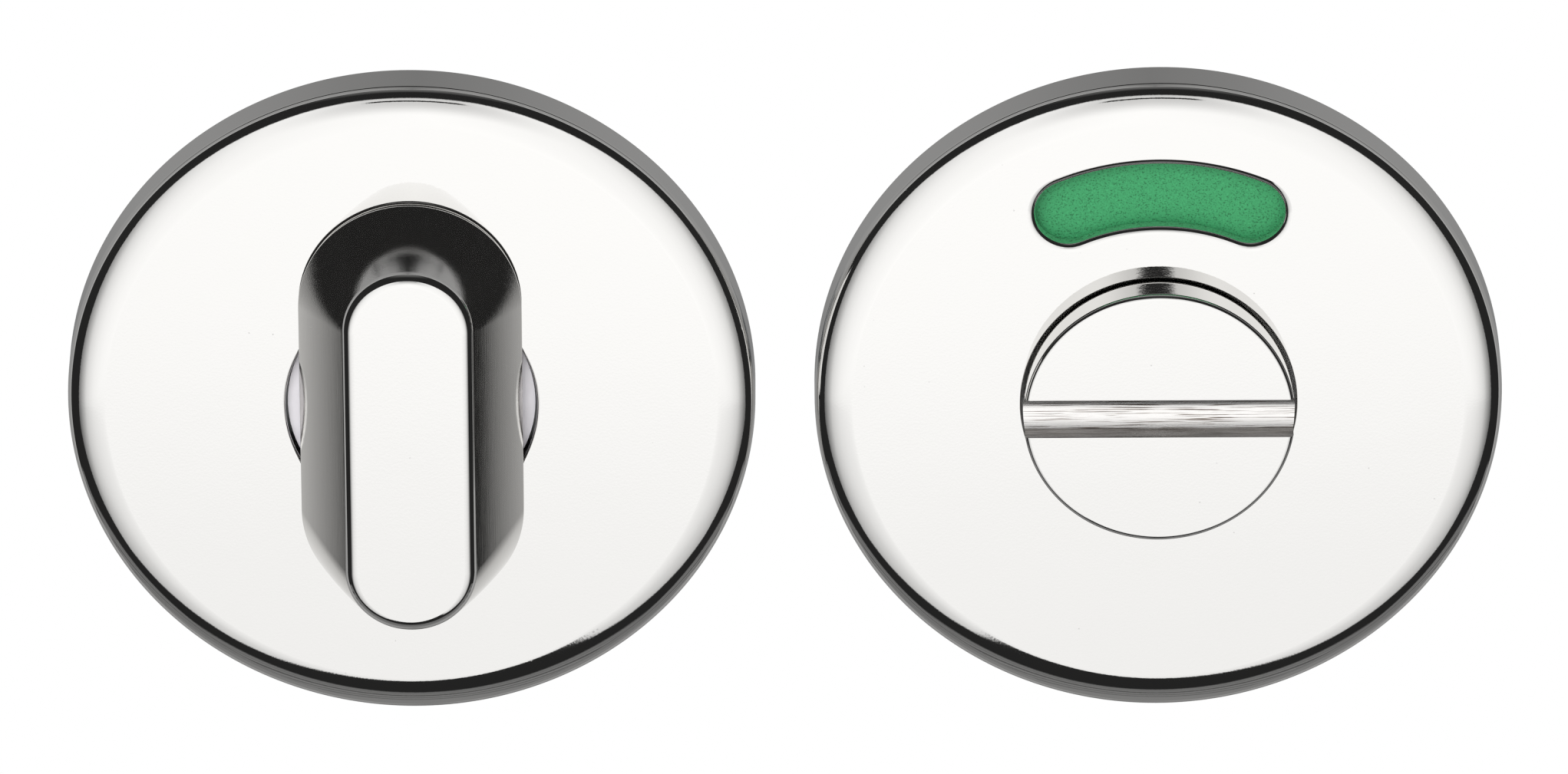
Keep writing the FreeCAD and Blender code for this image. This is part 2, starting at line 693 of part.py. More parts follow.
def circlip(name, shank_radius, on_release_axis=False):
    """Open ring in the shank's groove, with two eyes at its ends."""
    body = new_body(name, on_release_axis)
    inner = f"({shank_radius} - circlip_seat_depth + seat_clearance)"
    outer = f"({inner} + circlip_band)"
    eye_radius = f"({inner} + circlip_lug_radius)"
    half = "(circlip_opening / 2)"
    ring = new_sketch(body, f"{name}_ring_outline", "XZ_Plane", CLIP_BACK)
    draw_ring_sector(ring, inner, outer, half, f"(360 - {half})")
    padded(body, f"{name}_ring", ring, "circlip_thickness")
    eye_angle = f"({half} + circlip_lug_radius / {eye_radius} * 180 / pi)"
    eyes = new_sketch(body, f"{name}_eye_outline", "XZ_Plane", CLIP_BACK)
    holes = new_sketch(body, f"{name}_eye_hole_outline", "XZ_Plane", CLIP_FRONT)
    for angle in (eye_angle, f"(-{eye_angle})"):
        across, up = polar(eye_radius, angle)
        draw_circle(eyes, "circlip_lug_radius", across, up)
        draw_circle(holes, "circlip_lug_hole", across, up)
    padded(body, f"{name}_eyes", eyes, "circlip_thickness")
    pocketed(body, f"{name}_eye_holes", holes, f"{THROUGH} * circlip_thickness")
    return body


def snap_ring(name, on_release_axis=False):
    """Open ring of round wire, half in the plate's groove and half in the cover's groove."""
    body = new_body(name, on_release_axis)
    sketch = new_sketch(body, f"{name}_section", "YZ_Plane")
    draw_circle(sketch, "snap_wire_radius", "-snap_ring_height", SNAP_RING_RADIUS)
    wire = body.newObject("PartDesign::Revolution", f"{name}_wire")
    wire.Profile = sketch
    wire.ReferenceAxis = (sketch, ["H_Axis"])
    wire.Midplane = True
    bind(wire, "Angle", "360 - snap_ring_gap")
    return body


def fixing_screws():
    """Two countersunk screws with a plain neck in the plate, a thread behind it and cross recesses."""
    body = new_body("fixing_screws")
    necks = new_sketch(body, "screw_neck_outline", "XZ_Plane", "turn_plate_thickness")
    pair_of_circles(necks, "screw_neck_radius")
    padded(body, "screw_necks", necks, "turn_plate_thickness + screw_neck_reach", towards_door=True)
    heads = new_sketch(body, "screw_head_outline", "XZ_Plane", "turn_plate_thickness")
    pair_of_circles(heads, "screw_head_radius")
    head = padded(body, "screw_heads", heads, "screw_head_radius - screw_neck_radius", towards_door=True)
    head.TaperAngle = -SINK_ANGLE
    threads = new_sketch(body, "screw_thread_outline", "XZ_Plane", "-screw_neck_reach")
    pair_of_circles(threads, "screw_radius")
    thread = padded(body, "screw_threads", threads, "screw_reach - screw_neck_reach", towards_door=True)
    tips = edges_where(thread, lambda edge: lies_at_height(edge, -value_of("screw_reach")))
    chamfered(body, "screw_tips", thread, tips, "pillar_chamfer")
    cross = new_sketch(body, "cross_recess_outline", "XZ_Plane", "turn_plate_thickness")
    for side in ("-", ""):
        draw_cross(cross, f"({side}{FIXING_REACH})")
    pocketed(body, "cross_recesses", cross, "screw_recess_depth")
    return body


def draw_cross(sketch, across):
    """Cross of two equal bars, centred at a distance across."""
    long_half, short_half = "(screw_recess_reach)", "(screw_recess_width / 2)"
    quarter = ((long_half, short_half), (short_half, short_half), (short_half, long_half))
    corners = []
    for right, top, backwards in ((1, 1, False), (-1, 1, True), (-1, -1, False), (1, -1, True)):
        for reach, rise in reversed(quarter) if backwards else quarter:
            corners.append((f"({across} + {right} * {reach})", f"({top} * {rise})"))
    draw_loop(sketch, corners)


def threaded_pillars():
    """Two pillars with a spigot in the outside plate and a tapped bore from the far end."""
    body = new_body("threaded_pillars", on_release_axis=True)
    spigots = new_sketch(body, "spigot_outline", "XZ_Plane", "0")
    pair_of_circles(spigots, "pillar_spigot_radius")
    padded(body, "spigots", spigots, RELEASE_PLATE_FRONT)
    barrels = new_sketch(body, "barrel_outline", "XZ_Plane", "0")
    pair_of_circles(barrels, "pillar_radius")
    barrel = padded(body, "barrels", barrels, "pillar_reach", towards_door=True)
    bores = new_sketch(body, "bore_outline", "XZ_Plane", "-pillar_reach")
    pair_of_circles(bores, "(screw_radius - thread_depth)")
    bored = pocketed(body, "tapped_bores", bores, "pillar_bore_depth", outwards=True)
    ends = edges_where(bored, lambda edge: lies_at_height(edge, -value_of("pillar_reach")))
    chamfered(body, "pillar_ends", bored, ends, "pillar_chamfer")
    return body


def build_inside_half():
    """Sub-parts of the half with the thumb turn."""
    rose_cover("turn_rose_cover", "turn_hole_radius")
    turn_plate()
    flanged_bush("turn_bush", "(turn_plate_thickness + turn_bush_flange)", "(turn_hole_radius - bush_gap)",
                 "turn_bush_flange", TURN_SLEEVE, TURN_BORE)
    thumb_turn()
    spindle()
    grub_screw()
    flat_washer("turn_flat_washer", f"({TURN_BORE} + running_clearance)")
    disc_spring("turn_disc_spring", f"({TURN_BORE} + running_clearance)")
    circlip("turn_circlip", TURN_SHANK)
    snap_ring("turn_snap_ring")
    fixing_screws()


def build_outside_half():
    """Sub-parts of the half with the coin release and the indicator."""
    cut_window(rose_cover("release_rose_cover", RELEASE_HOLE, on_release_axis=True))
    release_plate()
    flanged_bush("release_bush", RELEASE_BUSH_FRONT, RELEASE_FLANGE, "release_bush_flange",
                 RELEASE_SLEEVE, RELEASE_BORE, on_release_axis=True)
    release_knob()
    indicator_disc()
    indicator_field("indicator_green_field", "0")
    indicator_field("indicator_red_field", "stop_travel")
    stop_pin()
    flat_washer("release_flat_washer", f"({RELEASE_BORE} + running_clearance)", on_release_axis=True)
    disc_spring("release_disc_spring", f"({RELEASE_BORE} + running_clearance)", on_release_axis=True)
    circlip("release_circlip", RELEASE_SHANK, on_release_axis=True)
    snap_ring("release_snap_ring", on_release_axis=True)
    threaded_pillars()


def check_and_write():
    """Check every object, then write each sub-part to its own file."""
    doc.recompute()
    failed = [item.Name for item in doc.Objects if {"Invalid", "Error"} & set(item.State)]
    if failed:
        raise RuntimeError(f"failed objects: {failed}")
    os.makedirs("parts", exist_ok=True)
    bodies = [item for item in doc.Objects if item.isDerivedFrom("PartDesign::Body")]
    for body in bodies:
        if body.Shape.isNull() or not body.Shape.isValid():
            raise RuntimeError(f"bad shape: {body.Label}")
    for body in bodies:
        body.Shape.exportStep(f"parts/{body.Label}.step")
        box = body.Shape.optimalBoundingBox()
        print(f"{body.Label}: {len(body.Shape.Solids)} solid(s), {body.Shape.Volume:.1f} mm3, "
              f"X {box.XMin:.2f} to {box.XMax:.2f}, Y {box.YMin:.2f} to {box.YMax:.2f}, "
              f"Z {box.ZMin:.2f} to {box.ZMax:.2f}")


fill_sheet()
build_inside_half()
build_outside_half()
check_and_write()
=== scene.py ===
import math

import bpy
import numpy as np
from bpy.props import FloatProperty, FloatVectorProperty, PointerProperty
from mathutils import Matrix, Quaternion, Vector


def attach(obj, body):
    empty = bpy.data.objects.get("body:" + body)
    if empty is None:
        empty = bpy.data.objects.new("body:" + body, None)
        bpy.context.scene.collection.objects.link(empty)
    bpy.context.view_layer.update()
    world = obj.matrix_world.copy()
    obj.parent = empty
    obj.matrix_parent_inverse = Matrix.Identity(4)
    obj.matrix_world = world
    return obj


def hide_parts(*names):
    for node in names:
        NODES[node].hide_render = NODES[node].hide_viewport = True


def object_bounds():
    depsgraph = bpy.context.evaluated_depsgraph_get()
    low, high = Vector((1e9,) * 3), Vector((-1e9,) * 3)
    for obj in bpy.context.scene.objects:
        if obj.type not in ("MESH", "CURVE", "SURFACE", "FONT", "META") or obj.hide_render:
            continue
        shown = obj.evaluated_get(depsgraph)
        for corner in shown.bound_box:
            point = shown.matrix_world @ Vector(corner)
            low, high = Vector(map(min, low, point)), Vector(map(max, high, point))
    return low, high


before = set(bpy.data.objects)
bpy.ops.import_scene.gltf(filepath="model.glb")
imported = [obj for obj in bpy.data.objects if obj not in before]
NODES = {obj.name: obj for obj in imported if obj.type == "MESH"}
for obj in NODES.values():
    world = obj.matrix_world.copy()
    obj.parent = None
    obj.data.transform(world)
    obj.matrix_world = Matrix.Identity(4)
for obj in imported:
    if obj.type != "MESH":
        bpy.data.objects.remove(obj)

bl_info = {
    "name": "Bathroom Thumb Turn Lock",
    "version": (1, 0, 0),
    "blender": (4, 5, 0),
    "location": "View3D > Sidebar > Lock",
    "description": "Finishes a thumb turn lock with its coin release, and lights it in a white tent",
    "category": "Object",
}

CAD_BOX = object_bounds()
MM = 0.001
# Corners nearer than this are one corner, on a grid shifted off the round sizes.
JOIN_GRID = 0.0001 * MM
GRID_SHIFT = 0.137
# Below this a sine or cosine counts as none.
TINY = 1e-9
UPRIGHT = math.pi / 2
FULL = 2 * math.pi
# Steps round a cover and round the coin release.
ROUND_STEPS = 256


def linear(code):
    """Linear colour of an sRGB hex code."""
    parts = [int(code[place:place + 2], 16) / 255 for place in (1, 3, 5)]
    return tuple(part / 12.92 if part <= 0.04045 else ((part + 0.055) / 1.055) ** 2.4 for part in parts)


def connect(tree, node, inputs):
    """Set a node's inputs, each to a value or to a linked output."""
    for socket, value in inputs.items():
        if isinstance(value, bpy.types.NodeSocket):
            tree.links.new(value, node.inputs[socket])
        else:
            node.inputs[socket].default_value = value


def add_node(tree, kind, inputs=None, stops=(), **settings):
    """Add a node, with its settings, its ramp's stops, and its inputs as values or linked outputs."""
    node = tree.nodes.new(kind)
    for name, value in settings.items():
        setattr(node, name, value)
    for place, (position, level) in enumerate(stops):
        elements = node.color_ramp.elements
        element = elements[place] if place < len(elements) else elements.new(position)
        element.position = position
        element.color = (level, level, level, 1) if isinstance(level, float) else (*level, 1)
    connect(tree, node, inputs or {})
    return node


def new_material(name):
    """Empty material with its shader, and the coordinates that its patterns read."""
    material = bpy.data.materials.new(name)
    material.use_nodes = True
    tree = material.node_tree
    tree.nodes.clear()
    shader = add_node(tree, "ShaderNodeBsdfPrincipled")
    add_node(tree, "ShaderNodeOutputMaterial", {"Surface": shader.outputs["BSDF"]})
    place = add_node(tree, "ShaderNodeTexCoord").outputs["Object"]
    return material, tree, shader, place


def size(name, description, millimetres):
    """Property for a length."""
    return FloatProperty(name=name, description=description, subtype="DISTANCE", unit="LENGTH", min=0,
                         default=millimetres * MM)


def angle_property(name, description, degrees):
    """Property for an angle."""
    return FloatProperty(name=name, description=description, subtype="ANGLE", unit="ROTATION",
                         default=math.radians(degrees))


def colour_property(name, description, code):
    """Property for a colour, from its sRGB hex code."""
    return FloatVectorProperty(name=name, description=description, subtype="COLOR", size=3, min=0, max=1,
                               default=linear(code))


def share_property(name, description, share):
    """Property for a share from 0 to 1."""
    return FloatProperty(name=name, description=description, subtype="FACTOR", min=0, max=1, default=share)


def level_property(name, description, level, unit="NONE"):
    """Property for a brightness or a power."""
    return FloatProperty(name=name, description=description, unit=unit, min=0, default=level)


class LockShapeSettings(bpy.types.PropertyGroup):
    """Sizes of the surfaces that are made here with exact curves."""

    rose_radius: size("Rose radius", "Radius of both covers", 25.0)
    rose_height: size("Rose height", "From the door face to the cover's flat front", 4.0)
    rose_spacing: size("Rose spacing", "Between the axes of the two roses", 54.3)
    cover_wall: size("Cover wall", "Thickness of the pressed sheet", 1.0)
    edge_width: size("Edge width", "How far the rolled edge reaches in over the front", 2.8)
    edge_drop: size("Edge drop", "How far the rolled edge comes down", 1.45)
    edge_small_radius: size("Small edge radius", "Tighter arc at the rim", 0.95)
    inner_corner_radius: size("Inner corner", "Hollow corner inside the cover", 1.2)
    hole_round: size("Hole rim round", "Round on the rim of the turn's hole", 0.2)
    release_hole_round: size("Release hole rim round", "Round on the rim of the coin release's hole", 0.1)
    ring_groove_low: size("Ring groove start", "Low side of the snap ring's groove", 0.15)
    ring_groove_high: size("Ring groove end", "High side of the snap ring's groove", 1.05)
    ring_groove_depth: size("Ring groove depth", "Depth of the snap ring's groove", 0.2)
    turn_hole_radius: size("Turn hole", "Radius of the hole round the thumb turn", 9.15)
    release_hole_radius: size("Release hole", "Radius of the hole round the coin release", 10.02)
    window_radius: size("Window radius", "Radius of the arc window's middle line", 16.5)
    window_half_width: size("Window half width", "Half of the arc window's width", 2.42)
    window_half_angle: angle_property(
        "Window half angle", "From the window's middle to the centre of its round end", 23.5)
    window_round: size("Window rim drop", "How deep the round on the window's rim reaches", 0.45)
    window_spread: size("Window rim spread", "How far the round on the window's rim reaches out", 0.6)
    turn_base: size("Turn base", "Height of the thumb turn's underside", 4.2)
    turn_top: size("Turn top", "Height of the thumb turn's flat top", 12.35)
    turn_base_half_width: size("Turn base half width", "Half width at the underside", 8.22)
    turn_base_half_length: size("Turn base half length", "Half length at the underside", 16.27)
    turn_top_half_width: size("Turn top half width", "Half width at the top", 4.47)
    turn_top_half_length: size("Turn top half length", "Half length at the top", 14.13)
    turn_belly: size("Turn belly", "How far the sides bulge at half height", 0.12)
    turn_rim_round: size("Turn rim round", "Round between the sides and the top", 1.0)
    turn_base_round: size("Turn base round", "Round between the sides and the underside", 0.25)
    turn_shank_radius: size("Turn shank", "Radius of the thumb turn's shank", 5.0062)
    turn_socket_floor: size("Turn socket floor", "Height of the floor of the square socket", 4.0)
    grub_hole_radius: size("Grub hole", "Radius of the grub screw's hole", 1.55)
    grub_hole_depth: size("Grub hole place", "From the door face in to the grub screw's axis", 5.9)
    knob_radius: size("Release radius", "Radius of the coin release", 9.87)
    knob_top: size("Release top", "Height of the coin release's front", 6.7)
    knob_back: size("Release back", "Height of the coin release's back face", 2.55)
    knob_edge_round: size("Release edge round", "Round on the coin release's edge", 0.38)
    slot_width: size("Slot width", "Width of the coin slot", 3.0)
    slot_depth: size("Slot depth", "Depth of the coin slot", 2.0)
    slot_floor_radius: size("Slot floor", "Hollow radius of the coin slot's floor", 3.1)
    boss_radius: size("Boss radius", "Radius of the boss that drives the disc", 5.4062)
    boss_back: size("Boss back", "Height of the boss's back face", 1.95)
    release_shank_radius: size("Release shank", "Radius of the coin release's shank", 4.6062)
    release_socket_floor: size("Release socket floor", "Height of the floor of the square socket", 2.0)
    shank_depth: size("Shank depth", "How far both shanks reach into the door", 8.0)
    shank_chamfer: size("Shank chamfer", "Chamfer at the end of a shank", 0.4)
    clip_groove_start: size("Clip groove start", "From the door face in to the circlip's groove", 2.5)
    clip_groove_end: size("Clip groove end", "From the door face in to the groove's far side", 3.4)
    clip_groove_depth: size("Clip groove depth", "Depth of the circlip's groove", 0.4)
    socket_half: size("Socket half side", "Half side of both square sockets", 2.55)
    fixing_radius: size("Fixing radius", "From the axis out to a fixing screw", 19.0)
    plate_front: size("Turn plate front", "Height of the inside plate's front", 2.0)
    screw_head_radius: size("Screw head", "Radius of a screw's head", 3.7)
    screw_neck_radius: size("Screw neck", "Radius of a screw's plain neck", 1.75)
    screw_neck_depth: size("Screw neck end", "From the door face in to the thread", 1.0)
    screw_radius: size("Screw radius", "Outer radius of the M4 thread", 2.0)
    screw_depth: size("Screw depth", "From the door face in to the screw's tip", 26.0)
    recess_reach: size("Recess reach", "Half length of a cross recess's bar", 1.9)
    recess_half_width: size("Recess half width", "Half width of a cross recess's bar", 0.45)
    recess_depth: size("Recess depth", "Depth of the cross recess", 1.1)
    thread_pitch: size("Thread pitch", "Pitch of the M4 thread", 0.7)
    thread_depth: size("Thread depth", "Depth of the M4 thread", 0.35)
    pillar_radius: size("Pillar radius", "Outer radius of a threaded pillar", 3.5)
    pillar_depth: size("Pillar depth", "From the door face in to the pillar's end", 20.0)
    pillar_bore_depth: size("Pillar bore", "Depth of the tapped bore", 16.0)
    pillar_chamfer: size("Pillar chamfer", "Chamfer at the ends of pillars and screws", 0.4)
    spigot_radius: size("Spigot radius", "Radius of a pillar's spigot in the plate", 2.5)
    spigot_height: size("Spigot height", "Height of the outside plate's front", 1.8)


class LockFinishSettings(bpy.types.PropertyGroup):
    """Colours and surface sizes of the lock's materials."""

    steel_colour: colour_property("Steel", "Reflection colour of polished stainless steel", "#EBEAE8")
    steel_roughness: share_property("Steel roughness", "Blur of the mirror polish", 0.03)
    brushed_roughness: share_property("Brushed roughness", "Blur on the turn's sides", 0.06)
    milled_roughness: share_property("Milled roughness", "Blur in the coin slot", 0.14)
    pit_roughness: share_property("Pit roughness", "Blur inside the pits in the polish", 0.38)
    buffing_wave: size("Buffing wave", "Length of the shallow waves that the buffing wheel leaves", 7)
    wave_height: size("Wave height", "Height of the buffing waves", 0.002)
    buffing_grain: size("Buffing grain", "Length of the fine marks in the polish", 0.18)
    grain_height: size("Grain height", "Height of the fine marks in the polish", 0.0006)
    pit_spacing: size("Pit spacing", "Between the small pits in the polish", 2.6)
    brush_width: size("Brush width", "Width of a brushed line or a milled streak", 0.07)
    brush_length: size("Brush length", "Length of a brushed line or a milled streak", 5)
    brush_depth: size("Brush depth", "Depth of the brushed lines", 0.0022)
    streak_depth: size("Streak depth", "Depth of the milled streaks", 0.005)
    green_colour: colour_property("Green film", "Vacant colour in the window", "#3F9A64")
    red_colour: colour_property("Red film", "Engaged colour in the window", "#B8232B")
    nylon_colour: colour_property("Nylon", "Natural white of the moulded bushes", "#F8F5FA")
    zinc_colour: colour_property("Die cast zinc", "Grey of the plates behind the covers", "#B9BBBD")
    plated_colour: colour_property("Zinc plate", "Plating of the screws, pillars and washers", "#CFD2D4")
    spring_colour: colour_property("Spring steel", "Phosphated steel of the rings and springs", "#77787A")
    oxide_colour: colour_property("Black oxide", "Blackened steel of the grub screw", "#3A3A3C")
    disc_colour: colour_property("Disc", "Moulded plastic of the indicator disc", "#DCDCDA")


class LockStageSettings(bpy.types.PropertyGroup):
    """Camera and light."""

    camera_height: angle_property("Camera height", "Angle of the view above level", 25.5)
    camera_distance: size("Camera distance", "From the camera to the point that it looks at", 1200)
    camera_lens: FloatProperty(
        name="Lens", description="Focal length on a sensor 36 mm wide", subtype="DISTANCE_CAMERA",
        unit="CAMERA", min=20, default=378.3)
    camera_roll: angle_property("Roll", "How far the camera leans to the side", 0.227)
    aim_height: size("Aim height", "How far in front of the door face the camera looks", 1.057)
    hole_half_width: angle_property("Camera hole width", "Half width of the camera's dark hole", 8)
    hole_half_height: angle_property("Camera hole height", "Half height of the camera's dark hole", 1.1)
    halo_level: share_property("Halo level", "Brightness of the halo round the camera hole", 0.62)
    halo_reach: angle_property("Halo reach", "How far the halo reaches from the camera hole", 26)
    floor_drop: size("Floor drop", "From the lock's middle down to the floor", 150)
    floor_colour: colour_property("Floor", "Pale floor under the lock", "#F4F4F2")
    key_power: level_property("Key lamp", "Power of the soft lamp in front and above", 2.2, unit="POWER")
    tent_level: level_property("Tent level", "Brightness of the tent's walls for dull surfaces", 1.0)
    window_level: level_property("Window level", "Brightness of the tent's white front in a mirror", 1.5)
    grey_level: level_property("Surround level", "Brightness of the tent's grey back in a mirror", 0.19)


# Upper and lower edge of the white front, in degrees above level, by angle to the side.
WINDOW_TOP = (
    (0, 31), (12, 30.5), (20, 28), (27, 24.5), (35, 19.5), (41, 14), (46, 7), (49.5, -2), (51, -12),
    (52.5, -22), (54, -30), (55, -38),
)
WINDOW_FOOT = (
    (0, -30), (2, -31), (6, -36.5), (10, -40.5), (16, -43.3), (24, -44.5), (32, -44.5), (40, -43),
    (46, -38.5), (50, -34), (54, -28),
)
# Brightness of the white front by angle above level, and by angle to the side, in degrees.
WINDOW_BY_HEIGHT = (
    (-44, 0.56), (-40, 0.64), (-36.5, 0.69), (-34, 0.75), (-32, 0.79), (-30, 0.82), (-28.5, 0.84),
    (-27, 0.865), (-26.3, 0.885), (-26, 0.9), (-25.75, 0.93), (-25.5, 0.955), (-25.2, 0.985), (-24.6, 1),
)
WINDOW_BY_SIDE = (
    (0, 1), (4, 0.975), (9, 0.955), (16, 0.935), (25, 0.88), (31, 0.81), (35.5, 0.74), (38.5, 0.68),
    (41, 0.59), (43.5, 0.48), (46, 0.39), (48.5, 0.3), (51, 0.21), (53, 0.14), (54.5, 0.1),
)
# Brightness of the surround by angle above level, in degrees, with the tent's seams as thin lines.
SURROUND_BY_HEIGHT = (
    (-90, 1.5), (-76, 1.5), (-74, 0.8), (-72, 1.6), (-69, 0.8), (-67, 1.7), (-64, 0.45), (-62, 1.5),
    (-60, 0.9), (-58.5, 1.3), (-56.5, 0.9), (-55, 0.13), (20, 0.14), (42, 0.11), (60, 0.09), (70, 0.45),
    (80, 0.9), (86, 0.95), (88.5, 1.9), (90, 0.95),
)
# Brightness of the surround by angle to the side: black beside the front, then grey behind the lock.
SURROUND_BY_SIDE = (
    (0, 0.13), (94, 0.13), (97, 3), (103, 3), (108, 2.2), (150, 2.1), (168, 1.6), (180, 1.4),
)
# Middle of a dark band behind the lock, in degrees above level, by angle to the side.
BAND_BEHIND = ((120, 5), (126.6, 20.4), (134, 35.6), (150, 46), (165, 52), (180, 55))
# In degrees: the soft edges of the front's top and foot, and those of the band, from none to full.
SOFT_TOP, SOFT_FOOT = 1.2, 0.8
BAND_START, BAND_EDGE = (123, 128), (8, 5)
BAND_DEPTH = 0.92
# In radians: the soft edges of the camera hole, to the side and in height, and the halo's start.
HOLE_SOFT_SIDE, HOLE_SOFT_HEIGHT, HALO_START = 0.02, 0.008, 0.05
# The surround sinks by this many degrees beside the lock and low down, between these angles.
SINK, SINK_SIDE, SINK_HEIGHT = 20, (42, 75), (-18, -38)


def build_world(stage):
    """Light tent: a white front with a camera hole, a black border and a grey surround, by direction.

    A direction is its height above level and its angle to the side, each as a share of a half turn.
    """
    world = bpy.data.worlds.new("light_tent")
    world.use_nodes = True
    tree = world.node_tree
    tree.nodes.clear()
    axes = add_node(tree, "ShaderNodeSeparateXYZ",
                    {0: add_node(tree, "ShaderNodeTexCoord").outputs["Generated"]}).outputs

    def math_node(operation, *values):
        return add_node(tree, "ShaderNodeMath", dict(enumerate(values)), operation=operation).outputs[0]

    def times(first, *others):
        """Product of several values."""
        for other in others:
            first = math_node("MULTIPLY", first, other)
        return first

    def share(value, low, high, kind="SMOOTHSTEP"):
        """Where a value lies between two others, from 0 to 1."""
        return add_node(tree, "ShaderNodeMapRange", {"Value": value, "From Min": low, "From Max": high},
                        interpolation_type=kind).outputs["Result"]

    def ramp(place, table, first=0):
        """Level at a place, from a table by degrees that count from the first ones."""
        stops = [((degrees - first) / 180, float(level)) for degrees, level in table]
        return add_node(tree, "ShaderNodeValToRGB", {"Fac": place}, stops).outputs["Color"]

    def edge(table):
        """Height of an edge at this angle to the side."""
        return ramp(side, [(degrees, (rise + 90) / 180) for degrees, rise in table])

    rise = math_node("ARCSINE", axes["Z"])
    height = share(rise, -math.pi / 2, math.pi / 2, "LINEAR")
    aside = math_node("ABSOLUTE", math_node("ARCTAN2", axes["X"], times(axes["Y"], -1.0)))
    side = share(aside, 0.0, math.pi, "LINEAR")
    below_top = share(math_node("SUBTRACT", edge(WINDOW_TOP), height), -SOFT_TOP / 180, SOFT_TOP / 180)
    above_foot = share(math_node("SUBTRACT", height, edge(WINDOW_FOOT)), -SOFT_FOOT / 180, SOFT_FOOT / 180)
    camera_side = share(aside, stage.hole_half_width + HOLE_SOFT_SIDE,
                        stage.hole_half_width - HOLE_SOFT_SIDE)
    camera_rise = math_node("ABSOLUTE", math_node("SUBTRACT", rise, stage.camera_height))
    camera_band = share(camera_rise, stage.hole_half_height + HOLE_SOFT_HEIGHT,
                        stage.hole_half_height - HOLE_SOFT_HEIGHT)
    hole = math_node("SUBTRACT", 1.0, times(camera_side, camera_band))
    apart = math_node("SQRT", math_node("ADD", times(aside, aside), times(camera_rise, camera_rise)))
    halo = math_node("ADD", stage.halo_level,
                     times(share(apart, HALO_START, stage.halo_reach), 1.0 - stage.halo_level))
    window = times(ramp(height, WINDOW_BY_HEIGHT, -90), ramp(side, WINDOW_BY_SIDE), below_top, above_foot,
                   hole, halo, stage.window_level)
    sink = times(share(aside, *map(math.radians, SINK_SIDE), "LINEAR"),
                 share(rise, *map(math.radians, SINK_HEIGHT), "LINEAR"), SINK / 180)
    around = times(ramp(math_node("SUBTRACT", height, sink), SURROUND_BY_HEIGHT, -90), stage.grey_level)
    behind = times(ramp(side, SURROUND_BY_SIDE), stage.grey_level)
    from_band = math_node("ABSOLUTE", math_node("SUBTRACT", height, edge(BAND_BEHIND)))
    in_band = times(share(from_band, *(degrees / 180 for degrees in BAND_EDGE)),
                    share(aside, *map(math.radians, BAND_START)), BAND_DEPTH)
    surround = times(math_node("MAXIMUM", around, behind), math_node("SUBTRACT", 1.0, in_band))
    path = add_node(tree, "ShaderNodeLightPath").outputs
    lit = add_node(tree, "ShaderNodeMix", {
        "Factor": path["Is Glossy Ray"], "A": stage.tent_level,
        "B": math_node("MAXIMUM", window, surround)}).outputs["Result"]
    seen = add_node(tree, "ShaderNodeMix", {
        "Factor": path["Is Camera Ray"], "A": lit, "B": 1.0}).outputs["Result"]
    background = add_node(tree, "ShaderNodeBackground", {"Strength": seen})
    add_node(tree, "ShaderNodeOutputWorld", {"Surface": background.outputs["Background"]})
    bpy.context.scene.world = world


# Half the width of the floor, in metres.
FLOOR_HALF = 3.0
# The lamp's place in metres from the middle of the inside rose, and its width.
LAMP_SPOT, LAMP_WIDTH = (-0.15, -0.5, 0.35), 0.4
# How far left of the middle between the roses the camera looks.
AIM_LEFT = 0.07 * MM


def build_floor(stage):
    """Flat pale floor, far under the lock, that the camera sees as white."""
    ends = (-FLOOR_HALF, FLOOR_HALF)
    mesh = bpy.data.meshes.new("floor")
    mesh.from_pydata([(across, depth, -stage.floor_drop) for depth in ends for across in ends],
                     [], [(0, 1, 3, 2)])
    floor = bpy.data.objects.new("floor", mesh)
    bpy.context.scene.collection.objects.link(floor)
    material, tree, shader, _ = new_material("matt_pale_board")
    connect(tree, shader, {"Base Color": (*stage.floor_colour, 1), "Roughness": 0.9})
    white = add_node(tree, "ShaderNodeEmission", {"Strength": 1.0})
    seen = add_node(tree, "ShaderNodeMixShader", {
        0: add_node(tree, "ShaderNodeLightPath").outputs["Is Camera Ray"],
        1: shader.outputs["BSDF"], 2: white.outputs["Emission"]})
    connect(tree, tree.nodes["Material Output"], {"Surface": seen.outputs["Shader"]})
    mesh.materials.append(material)
    floor.visible_glossy = False


def build_lamp(name, spot, power, width):
    """Soft square lamp that points at the lock and isn't seen in the steel."""
    lamp = bpy.data.lights.new(name, "AREA")
    lamp.energy = power
    lamp.size = width
    holder = bpy.data.objects.new(name, lamp)
    holder.location = spot
    middle = (CAD_BOX[0] + CAD_BOX[1]) / 2
    holder.rotation_euler = (middle - holder.location).to_track_quat("-Z", "Y").to_euler()
    holder.visible_glossy = False
    bpy.context.scene.collection.objects.link(holder)


def build_camera(stage):
    """Camera in front of the lock, looking down on it, aimed between the two roses."""
    middle = (CAD_BOX[0].x + CAD_BOX[1].x) / 2
    aim = Vector((middle - AIM_LEFT, -stage.aim_height, 0))
    back = Vector((0, -math.cos(stage.camera_height), math.sin(stage.camera_height)))
    data = bpy.data.cameras.new("camera")
    data.lens = stage.camera_lens
    camera = bpy.data.objects.new("camera", data)
    camera.location = aim + stage.camera_distance * back
    level = (-back).to_track_quat("-Z", "Y")
    camera.rotation_euler = (level @ Quaternion((0, 0, 1), -stage.camera_roll)).to_euler()
    bpy.context.scene.collection.objects.link(camera)
    bpy.context.scene.camera = camera


